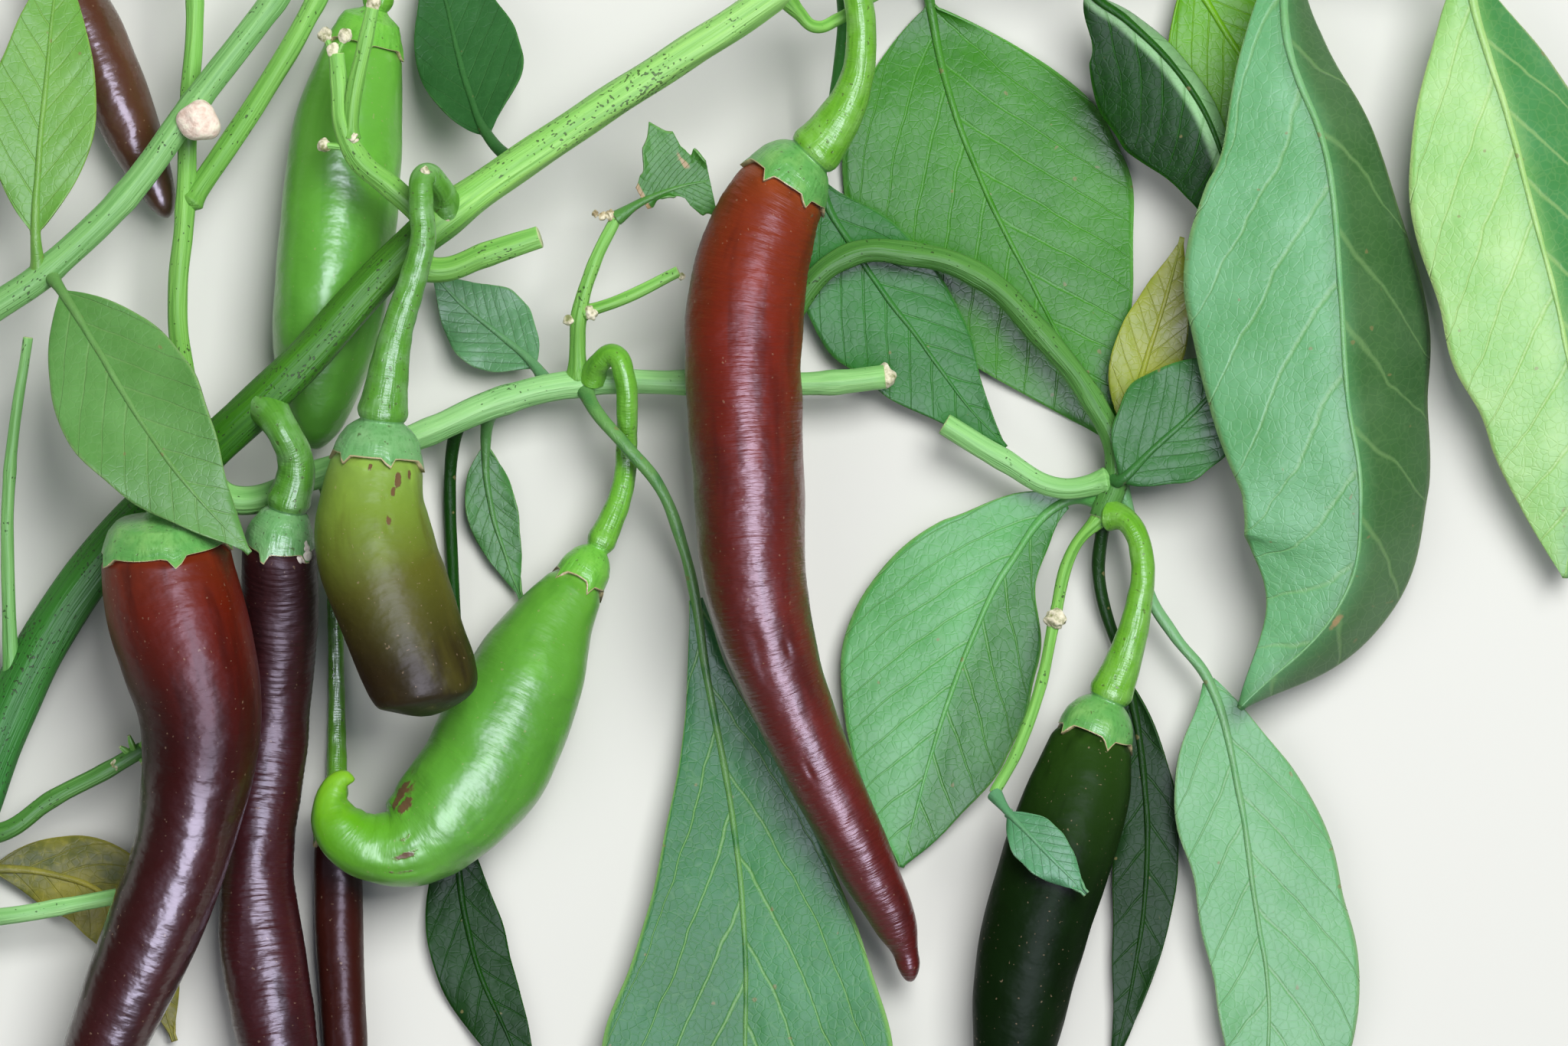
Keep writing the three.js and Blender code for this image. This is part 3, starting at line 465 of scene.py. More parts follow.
settle(puckered("torn_rim", TORN_RIM, 0.12, 3.0),
       [corky("torn_rim_cork", (0.74, 0.70, 0.66), (0.55, 0.48, 0.44))], "stalk")

# The fruit stalks. Each fleshy green stalk bends down from its stem, thickens, and after a pinched
# ring opens into the calyx, a ribbed cap whose toothed, dry rim grips the shoulder of the fruit.
CALYX = 6.0
SEAM = 0.3
FRUIT = dict(tone="fresh", teeth=5)
FRUITS = {
    "long_red": dict(teeth=6, turn=0.6, calyx=6.3, carrier=2.2, neck=[2.0, 2.0, 2.1, 2.4, 3.2, 3.9],
        girth=[6.4, 7.7, 8.2, 8.1, 8.0, 7.8, 7.3, 6.5, 5.7, 5.3, 4.8, 4.1, 3.0, 1.4],
        stalk=[(8.6, 79.1, 22), (10.1, 74.5, 22.5), (10.8, 67.9, 22), (9.9, 61.3, 21), (6.8, 55.2, 20),
        (0.2, 47.2, 19.2)],
        body=[(-3.1, 40.4, 19), (-5.2, 31.6, 18.8), (-5.7, 23.9, 18.6), (-5.5, 16.2, 18.6),
        (-4.8, 5.2, 18.4), (-3.9, -8, 18), (-1.6, -17.9, 17), (1.1, -25.6, 16), (5, -34.4, 14.5),
        (8.8, -42.1, 13), (12.3, -49.3, 11), (15.2, -55.3, 9), (17.4, -61.4, 7), (17.9, -64.8, 6)]),
    "wide_red": dict(turn=0.2, calyx=8.8, carrier=3.2, neck=[2.0, 2.0, 2.2, 2.8],
        girth=[9.0, 9.7, 9.6, 8.9, 8.2, 7.3, 6.7, 6.6, 6.3, 5.9, 5.4, 4.3, 2.8, 1.0],
        stalk=[(-86, 5.4, 11.8), (-86.2, 8.3, 18), (-86.7, 7.2, 22), (-86.8, 3, 22.6), (-86.5, -3.6, 21.3)],
        body=[(-85.4, -10.2, 20.4), (-83.4, -17.9, 19.8), (-81.7, -25.6, 19), (-81.7, -32.2, 18.5),
        (-82.7, -38.8, 18), (-84.3, -46, 17.5), (-86.8, -53.1, 16.5), (-90, -60.8, 15), (-93.8, -69.6, 13),
        (-97.9, -79.5, 10), (-101, -88.3, 7), (-102.7, -96, 4)]),
    "wrinkled_red": dict(tone="blue", turn=0.9, calyx=4.9, carrier=2.9, neck=[2.0, 2.2, 2.6, 3.1],
        girth=[5.2, 5.4, 5.3, 5.3, 5.3, 5.4, 5.4, 5.6, 5.8, 5.6, 4.4, 1.6],
        stalk=[(-73.2, 17.3, 17.5), (-70.4, 13.4, 20.5), (-68.4, 8.5, 18.5), (-69.7, 1.9, 16.5),
        (-70.8, -3.1, 15)],
        body=[(-70.9, -10.2, 11.8), (-71.6, -20.1, 8.6), (-72.4, -28.9, 7), (-74.3, -44.3, 6.5),
        (-74.3, -53.1, 6.3), (-72.7, -66.3, 6.4), (-70.6, -78.4, 6.2), (-69, -89.4, 5)]),
    "olive": dict(tone="blue", teeth=6, turn=0.3, calyx=6.3, carrier=2.5,
        neck=[1.7, 1.7, 1.7, 1.8, 2.0, 2.3, 2.9, 3.6],
        girth=[6.4, 6.8, 7.2, 7.8, 8.2, 8.4, 8.4, 8.4, 8.3, 8.2, 8.1, 8.0, 7.8, 7.0, 4.2],
        stalk=[(-46.9, 43.1, 21), (-48.2, 47, 25.5), (-50, 48.3, 27.5), (-50.5, 44.5, 28.6),
        (-50.2, 39.8, 28.6), (-51.7, 33.8, 28), (-54.1, 26.1, 27), (-55.5, 18.4, 26), (-56.7, 9, 24.8)],
        body=[(-57.5, 2, 24.6), (-56.7, -4.5, 24.3), (-55, -9.5, 24), (-53.4, -14, 23.8),
        (-52.2, -17.4, 23.6), (-50.8, -20.9, 23.5), (-49.8, -24, 23.4), (-49.2, -26.9, 23.3)]),
    "curled_green": dict(tone="bright", turn=0.5, calyx=3.8, carrier=1.7,
        neck=[1.5, 1.5, 1.5, 1.5, 1.7, 2.1],
        girth=[4.0, 5.2, 6.5, 7.7, 8.4, 8.8, 8.9, 8.8, 8.6, 8.2, 7.6, 6.5, 5.1, 4.4, 3.7, 2.6, 0.7],
        stalk=[(-27.3, 19.7, 7.2), (-25.9, 22.6, 10.5), (-23.9, 23.6, 12), (-22.4, 20.4, 12.2),
        (-22.1, 15.1, 10.2), (-22.2, 10.7, 8), (-22.6, 5.7, 8), (-24.2, 0.8, 8.3), (-29, -8.3, 9)],
        body=[(-33.1, -14.9, 9.2), (-36, -21.1, 9.5), (-38.3, -25.9, 9.7), (-40.3, -30.2, 9.9),
        (-42.5, -34.4, 10.2), (-45.2, -37.9, 10.6), (-48, -41, 10.9), (-51.1, -43.8, 11.3),
        (-54.2, -45.5, 11.9), (-57.2, -45.6, 12.3), (-59.9, -44.8, 12.6), (-62.1, -43, 12.8),
        (-63.4, -40.2, 12.9), (-63.2, -37.6, 13), (-62, -36.1, 13.1), (-60.3, -36, 13.2)]),
    "back_green": dict(tone="bright", turn=0.1, calyx=5.2, carrier=1.5, neck=[1.6, 1.7, 2.2],
        girth=[5.4, 7.0, 7.9, 8.2, 8.2, 8.0, 7.2, 5.2, 2.2],
        stalk=[(-61.9, 82, 9.9), (-58.3, 82.7, 11), (-56.8, 77.8, 10), (-59.1, 67.3, 8.6)],
        body=[(-61.6, 55.8, 8.6), (-62.7, 45.9, 8.6), (-64.3, 29.4, 8.6), (-65.7, 18.4, 7),
        (-66.4, 10.4, 4.5)]),
    "back_brown": dict(turn=0.7, calyx=3.9, carrier=1.3, neck=[1.2, 1.3, 1.5, 1.9],
        girth=[4.0, 4.7, 4.7, 4.5, 4.0, 3.0, 1.4],
        stalk=[(-83.5, 80, 11), (-88, 85.5, 10), (-96.8, 87.7, 8), (-102.8, 85.3, 6.5),
        (-101.9, 77.5, 5.6)],
        body=[(-100.1, 73.4, 5.6), (-95.7, 63.5, 5.6), (-91.3, 53.6, 5.5), (-88, 45.9, 5.2),
        (-87, 43.1, 5)]),
    "low_red": dict(turn=0.2, calyx=3.3, carrier=1.8, neck=[1.2, 1.1, 1.2, 1.6],
        girth=[3.1, 3.4, 3.4, 3.3, 3.1, 2.4, 1.0],
        stalk=[(-64.4, 7.4, 8.8), (-63.8, -2.5, 4), (-63.4, -20.1, 2), (-63.3, -34.4, 2.2),
        (-63.3, -44.9, 4)],
        body=[(-62.9, -53.1, 4.2), (-62.5, -64.1, 4.2), (-61.9, -75.1, 4.2), (-60.8, -88.3, 3.4)]),
    "dark_green": dict(turn=0.4, calyx=5.4, carrier=1.9, neck=[1.6, 1.6, 1.8, 2.4, 3.2],
        girth=[5.6, 7.2, 7.8, 7.7, 7.4, 6.8, 5.7, 4.0, 1.3],
        stalk=[(45.1, 1.3, 6.8), (48.4, 0.2, 9), (50.4, -4.7, 10), (49.8, -12.4, 9.8), (48, -19, 9),
        (43.7, -30, 8.4)],
        body=[(41.8, -37.7, 8.3), (38.5, -47.6, 8.2), (35.2, -58.6, 7.8), (33.2, -69.6, 6.8),
        (31.9, -80.6, 5), (31.4, -89.4, 3)]),
}


def stalk_skin(name, stalk, cap, painted_sheen):
    """Juicy green skin with fine cross lines, dark dots and soft pale patches of painted sheen; the cap's
    rim is dry and pale brown.
    """
    skin = shader(name, Roughness=0.36, Specular_IOR_Level=0.3, Coat_Weight=0.4, Coat_Roughness=0.27)
    grain = noted("grain", 1)
    mark = noted("mark")
    lines = fibres(grain, 3.2, 0.7, 2.0)
    rays = fibres(grain, 0.12, 1.8, 2.0)
    dots = between(clouds(grain, 1.5, 1.0), 0.68, 0.74)
    colour = blended(between(mark, 0.15, 0.4), (*stalk, 1), (*cap, 1))
    # Painted sheen: soft pale patches laid into the colour where the stalk's gloss would shine
    colour = tinted(colour, painted_sheen, between(clouds(grain, 0.35, 3.0), 0.4, 0.75), 0.5)
    colour = tinted(colour, (0.5, 0.66, 0.45), between(rays, 0.5, 0.3), 0.45, "MULTIPLY")
    colour = tinted(colour, (0.06, 0.07, 0.02), dots, 0.6)
    feed(Base_Color=tinted(colour, (0.42, 0.36, 0.20), between(mark, 0.9, 0.99)))
    relief = plus(times(lines, 0.7), rays)
    raised(minus(relief, times(dots, 0.3)), 0.13)
    return skin


# Each tone: the stalk's colour, the cap's colour, and the colour of the stalk's painted sheen
STALK_TONES = {
    "fresh": ((0.125, 0.36, 0.025), (0.105, 0.33, 0.080), (0.24, 0.48, 0.14)),
    "blue": ((0.085, 0.27, 0.030), (0.140, 0.36, 0.130), (0.24, 0.45, 0.21)),
    "bright": ((0.12, 0.36, 0.03), (0.14, 0.44, 0.05), (0.20, 0.50, 0.07)),
}
cap_skin = {tone: stalk_skin("stalk_" + tone, *colours) for tone, colours in STALK_TONES.items()}
for seed, (name, given) in enumerate(FRUITS.items()):
    fruit = {**FRUIT, **given}
    seat = len(fruit["stalk"]) - 1
    line = line_of("stalk_and_calyx_" + name, fruit["stalk"] + fruit["body"], 60, 260, end=(seat, SEAM))
    at, angle = line["at"], line["angle"]
    top = line["total"] - CALYX
    neck = fruit["neck"][-1]
    wide = fruit["calyx"]
    cap = np.clip((at - top) / CALYX, 0, 1)
    bell = np.interp(cap, [0, 0.06, 0.14, 0.3, 0.5, 0.75, 1], [
        neck, neck * 0.93, neck * 1.02 + 0.25, wide * 0.78, wide * 0.9, wide * 0.98, wide * 1.03])
    radius = np.where(at > top, bell, smooth(fruit["neck"], at / top))
    radius = rooted(radius, at, fruit["carrier"])
    radius = radius - knuckle(at, top + 0.3, 0.8, 0.36) + knuckle(at, top - 1.1, 0.9, 0.12)
    lobes = np.clip(np.cos(fruit["teeth"] * (angle + fruit["turn"])), 0, 1)
    teeth = lobes ** 8
    radius = radius + 0.07 * wide * cap * lobes ** 3 - 0.02 * wide * cap
    radius = radius + (0.03 + 0.05 * cap) * ripples(at, angle, 90 + seed, 12, 0.35, 4)
    radius = radius + 0.04 * np.cos(4 * angle + 0.1 * at) * (1 - cap)
    radius = radius + 0.5 * np.clip((cap - 0.85) / 0.15, 0, 1) * teeth
    slide = cap ** 3 * (1.8 * teeth - 0.45 + 0.3 * ripples(at, angle, 120 + seed, 5, 0.01, 4))
    mark = np.where(at > top, 0.5, 0.0) * np.ones_like(angle)
    mark[-6:] = np.array([0.6, 0.8, 1, 1, 1, 1])[:, None]
    # The rim turns in, and the cap's floor closes over the fruit
    slide[-2] = slide[-3] - 0.1
    radius[-2] = radius[-3] - 0.55
    slide[-1] = -1.5
    settle(round_piece(line, radius, slide, mark), [cap_skin[fruit["tone"]]], "stalk", "stalk_" + name)

# The chillies. Smooth, waxy fruits that hang from their calyxes: two long red ones, a wrinkled wine
# red one, a blunt olive one, a curled green one and four more behind them. Each body is drawn along
# its own line, then dented, wrinkled and rounded off at its tip.
UNDER = 3.3
SKIN = dict(slot="green", sides=128, dents=0.04, ribs=(3, 0.02), wax=(-0.5, -0.1), folds=(0.0, 0.2, 2, 60),
            flush_and_shade=None, scabs=(), pinch=0.0)
SKINS = {
    "long_red": dict(slot="red", sides=160, rings=460, lumps=(0.17, 0.035, 2), dents=0.06,
        folds=(0.07, 0.55, 3, 30), ribs=(3, 0.022), tip=3.4, cross=1.5, gloss=1.0, polish=0.33,
        wax=(0.08, 0.4), streak=(0.04, 0.005, 0.003),
        # Painted shade: this side tint darkens the left side of the upper body
        flush_and_shade=((0.05, 0.006, 0.004), (0.1, 0.4), (1, 8), 0.65), pinch=0.2,
        stops=[(0.0, 0.2, 0.046, 0.007), (0.06, 0.175, 0.024, 0.005), (0.22, 0.15, 0.012, 0.003),
        (0.42, 0.105, 0.009, 0.004), (0.7, 0.105, 0.01, 0.006), (1.0, 0.095, 0.009, 0.007)],
        scabs=[(64.0, 0.3, 2.4, 0.16), (67.5, 0.35, 2.6, 0.2), (66.0, -0.35, 1.3, 0.2),
        (83, 0.3, 1.6, 0.16), (1.4, -0.55, 2.6, 0.4), (1.6, -1.0, 1.8, 0.52)]),
    "wide_red": dict(slot="red", rings=300, lumps=(0.16, 0.025, 2), dents=0.035, folds=(0.0, 0.4, 2, 30),
        ribs=(3, 0.025), tip=2.6, cross=0.25, gloss=1.0, polish=0.25, wax=(0.31, 0.42),
        # Painted shade: this side tint darkens the left side of the upper body
        streak=(0.018, 0.002, 0.001), flush_and_shade=((0.016, 0.002, 0.001), (0.05, 0.3), (0, 7), 0.8),
        stops=[(0.0, 0.13, 0.018, 0.003), (0.12, 0.11, 0.008, 0.001), (0.3, 0.036, 0.002, 0.001),
        (0.6, 0.036, 0.003, 0.002), (1.0, 0.045, 0.005, 0.004)]),
    "wrinkled_red": dict(slot="wine", rings=520, lumps=(0.17, 0.05, 3), dents=0.05,
        folds=(0.055, 0.8, 4, 900), ribs=(2, 0.02), tip=3.0, cross=0.9, gloss=0.8, polish=0.28,
        wax=(0.0, 0.6), streak=(0.012, 0.003, 0.003),
        stops=[(0.0, 0.03, 0.006, 0.006), (0.3, 0.034, 0.004, 0.005), (1.0, 0.042, 0.006, 0.007)]),
    "olive": dict(slot="olive", rings=240, lumps=(0.07, 0.05, 2), dents=0.03, folds=(0.0, 0.25, 3, 25),
        ribs=(3, 0.01), tip=2.8, cross=0.2, gloss=0.6, polish=0.35, wax=(0.2, 0.02),
        streak=(0.075, 0.07, 0.009), flush_and_shade=((0.028, 0.016, 0.004), (0.25, 0.8), (0, 6), 0.7),
        stops=[(0.0, 0.21, 0.36, 0.065), (0.22, 0.16, 0.26, 0.032), (0.5, 0.09, 0.098, 0.011),
        (0.8, 0.026, 0.021, 0.004), (1.0, 0.022, 0.016, 0.004)],
        scabs=[(2.1, -0.55, 1.5, 1.0), (1.2, -0.85, 1.2, 0.8), (4.0, -0.46, 1.2, 0.8),
        (5.1, -0.3, 1.0, 0.6), (8.2, -0.33, 1.2, 0.8), (9.6, -0.3, 0.8, 0.5), (0.8, 0.1, 1.2, 0.7)]),
    "curled_green": dict(rings=340, lumps=(0.18, 0.05, 2), dents=0.09, folds=(0.0, 0.25, 2, 60),
        ribs=(3, 0.018), tip=1.6, cross=0.45, gloss=0.85, polish=0.33, streak=(0.055, 0.22, 0.018),
        pinch=0.2,
        stops=[(0.0, 0.11, 0.34, 0.03), (0.35, 0.085, 0.29, 0.028), (0.68, 0.1, 0.34, 0.03),
        (0.86, 0.1, 0.35, 0.006), (1.0, 0.2, 0.45, 0.02)],
        scabs=[(41.8, 0.7, 3.4, 0.75), (40.5, 1.05, 3.4, 0.85), (43.2, 1.0, 2.6, 0.8),
        (38.8, 0.85, 2.6, 0.6), (45.6, -0.25, 2.4, 0.62), (45.2, 0.15, 1.8, 0.55), (46.3, -0.7, 1.8, 0.6),
        (36.5, 1.15, 2.2, 0.5)]),
    "back_green": dict(sides=96, rings=200, lumps=(0.15, 0.03, 2), dents=0.05, tip=4.0, cross=0.1,
        gloss=0.8, polish=0.28, streak=(0.06, 0.24, 0.02),
        stops=[(0.0, 0.12, 0.38, 0.04), (1.0, 0.08, 0.28, 0.03)]),
    "back_brown": dict(slot="brown", sides=64, rings=160, lumps=(0.12, 0.05, 2), tip=2.6, cross=0.2,
        gloss=0.95, polish=0.24, streak=(0.045, 0.025, 0.008),
        stops=[(0.0, 0.085, 0.03, 0.014), (1.0, 0.06, 0.022, 0.01)]),
    "low_red": dict(slot="wine", sides=64, rings=160, lumps=(0.1, 0.05, 2), folds=(0.02, 0.4, 2, 60),
        tip=2.2, cross=0.3, gloss=0.3, polish=0.3, streak=(0.016, 0.003, 0.002),
        stops=[(0.0, 0.034, 0.006, 0.003), (1.0, 0.03, 0.005, 0.003)]),
    "dark_green": dict(sides=96, rings=200, lumps=(0.14, 0.04, 2), tip=3.0, cross=0.1, gloss=0.0,
        polish=0.4, streak=(0.002, 0.007, 0.001),
        stops=[(0.0, 0.018, 0.052, 0.006), (0.4, 0.004, 0.014, 0.002), (1.0, 0.003, 0.01, 0.002)]),
}


def fruit_skin(name, look):
    """Waxy skin: its colour changes along the fruit, under soft streaks, fine pores and a clear gloss; one
    side of the upper body can be darkened, a real flush on the olive and painted shade on the two long red
    fruits.
    """
    gloss = look["gloss"]
    skin = shader(name, Specular_IOR_Level=0.06 + 0.2 * gloss, Coat_Roughness=look["polish"])
    grain = noted("grain", 1)
    along = noted("along")
    wax = plus(0.12, times(between(along, *look["wax"]), 0.88))
    streaks = fibres(grain, 0.05, 0.32, 3.0)
    blots = fibres(grain, 0.13, 0.18, 3.0)
    pores = clouds(grain, 2.3, 0.0)
    colour = graded(along, look["stops"])
    colour = tinted(colour, look["streak"], between(streaks, 0.48, 0.72), 0.55)
    # A side tint on the upper body: a real brown flush on the olive, painted shade on the left of the long
    # and the wide red fruit
    if look["flush_and_shade"]:
        tint, (top, foot), (near, far), strength = look["flush_and_shade"]
        turned = step("SeparateXYZ", 2, Vector=grain)
        share = times(between(along, top, foot), between(turned, near, far))
        colour = tinted(colour, tint, share, strength)
    colour = tinted(colour, (1.5, 1.5, 1.3), between(blots, 0.50, 0.72), 0.35, "MULTIPLY")
    colour = tinted(colour, (0.42, 0.30, 0.20), between(pores, 0.79, 0.84), 0.28)
    rough = times(clouds(grain, 1.3, 4.0), 0.6)
    torn = between(plus(noted("mark"), rough), 0.72, 0.88)
    dull = plus(times(torn, 0.35), times(blots, 0.16))
    feed(Base_Color=tinted(colour, (0.13, 0.075, 0.030), torn),
         Roughness=plus(0.40, dull), Coat_Weight=times(wax, gloss))
    peel = fibres(grain, 0.30, 0.20, 3.0, 0.45)
    wrinkles = fibres(grain, 1.9, 0.22, 3.0, 0.6)
    relief = plus(times(peel, 4.0), times(wrinkles, look["cross"]))
    raised(plus(relief, times(torn, 0.5)), 0.11)
    return skin


for seed, (name, fruit) in enumerate(FRUITS.items()):
    look = {**SKIN, **SKINS[name]}
    seat = len(fruit["stalk"]) - 1
    line = line_of("skin_" + name, fruit["stalk"] + fruit["body"], look["sides"], look["rings"],
                   begin=(seat, SEAM - UNDER))
    at, angle = line["at"], line["angle"]
    below = at - UNDER
    length = line["total"] - UNDER
    outer = smooth(fruit["girth"], below / length)
    inner = fruit["calyx"] * (0.86 + 0.10 * np.clip(at / UNDER, 0, 1)) - 0.5
    blend = np.clip((below + 1.3) / 2.4, 0, 1)
    radius = inner + (outer - inner) * blend * blend * (3 - 2 * blend)
    free = np.clip(below / 4, 0, 1)
    slim = radius / max(fruit["girth"])
    size, rate, turns = look["lumps"]
    radius = radius + free * size * slim * ripples(at, angle, 200 + seed, 14, rate, turns)
    radius = radius + free * look["dents"] * slim * ripples(at, angle, 260 + seed, 16, 0.14, 5)
    size, rate, turns, reach = look["folds"]
    folds = np.clip(np.abs(ripples(at, angle, 230 + seed, 12, rate, turns)), 0, 1.4) - 0.6
    radius = radius + free * size * slim * folds * np.exp(-np.clip(below, 0, None) / reach)
    count, size = look["ribs"]
    radius = radius * (1 + free * size * np.cos(count * angle + 0.012 * at + seed))
    mark = np.zeros(angle.shape)
    for where, turn, spread, strength in look["scabs"]:
        off = np.abs((angle - turn + math.pi) % (2 * math.pi) - math.pi) * fruit["girth"][4]
        near = knuckle(below, where, spread, 1) * knuckle(off, 0, 0.5 * spread, 1)
        mark = np.maximum(mark, near * strength)
        radius = radius - 0.16 * near
    radius = radius * (1 - knuckle(below, length - 4.4, 2.6, look["pinch"]))
    round_off = np.clip((below - length) / look["tip"] + 1, 0, 1)
    radius = radius * np.sqrt(1 - round_off ** 2)
    settle(round_piece(line, radius, mark=mark), [fruit_skin("skin_" + name, look)], look["slot"],
           "chilli_" + name)

# The leaves. Thin, soft blades on slender stalks, with a pale raised midrib, side veins that curve
# forward and a quilted face between them. Each blade is a grid of faces, bent along its rib.
ACROSS = 40
DOWN = 120
WIDEST = 0.42
FULLNESS = 1.1
SIDE_VEINS = 8.5
LEAF_THICKNESS = 0.35
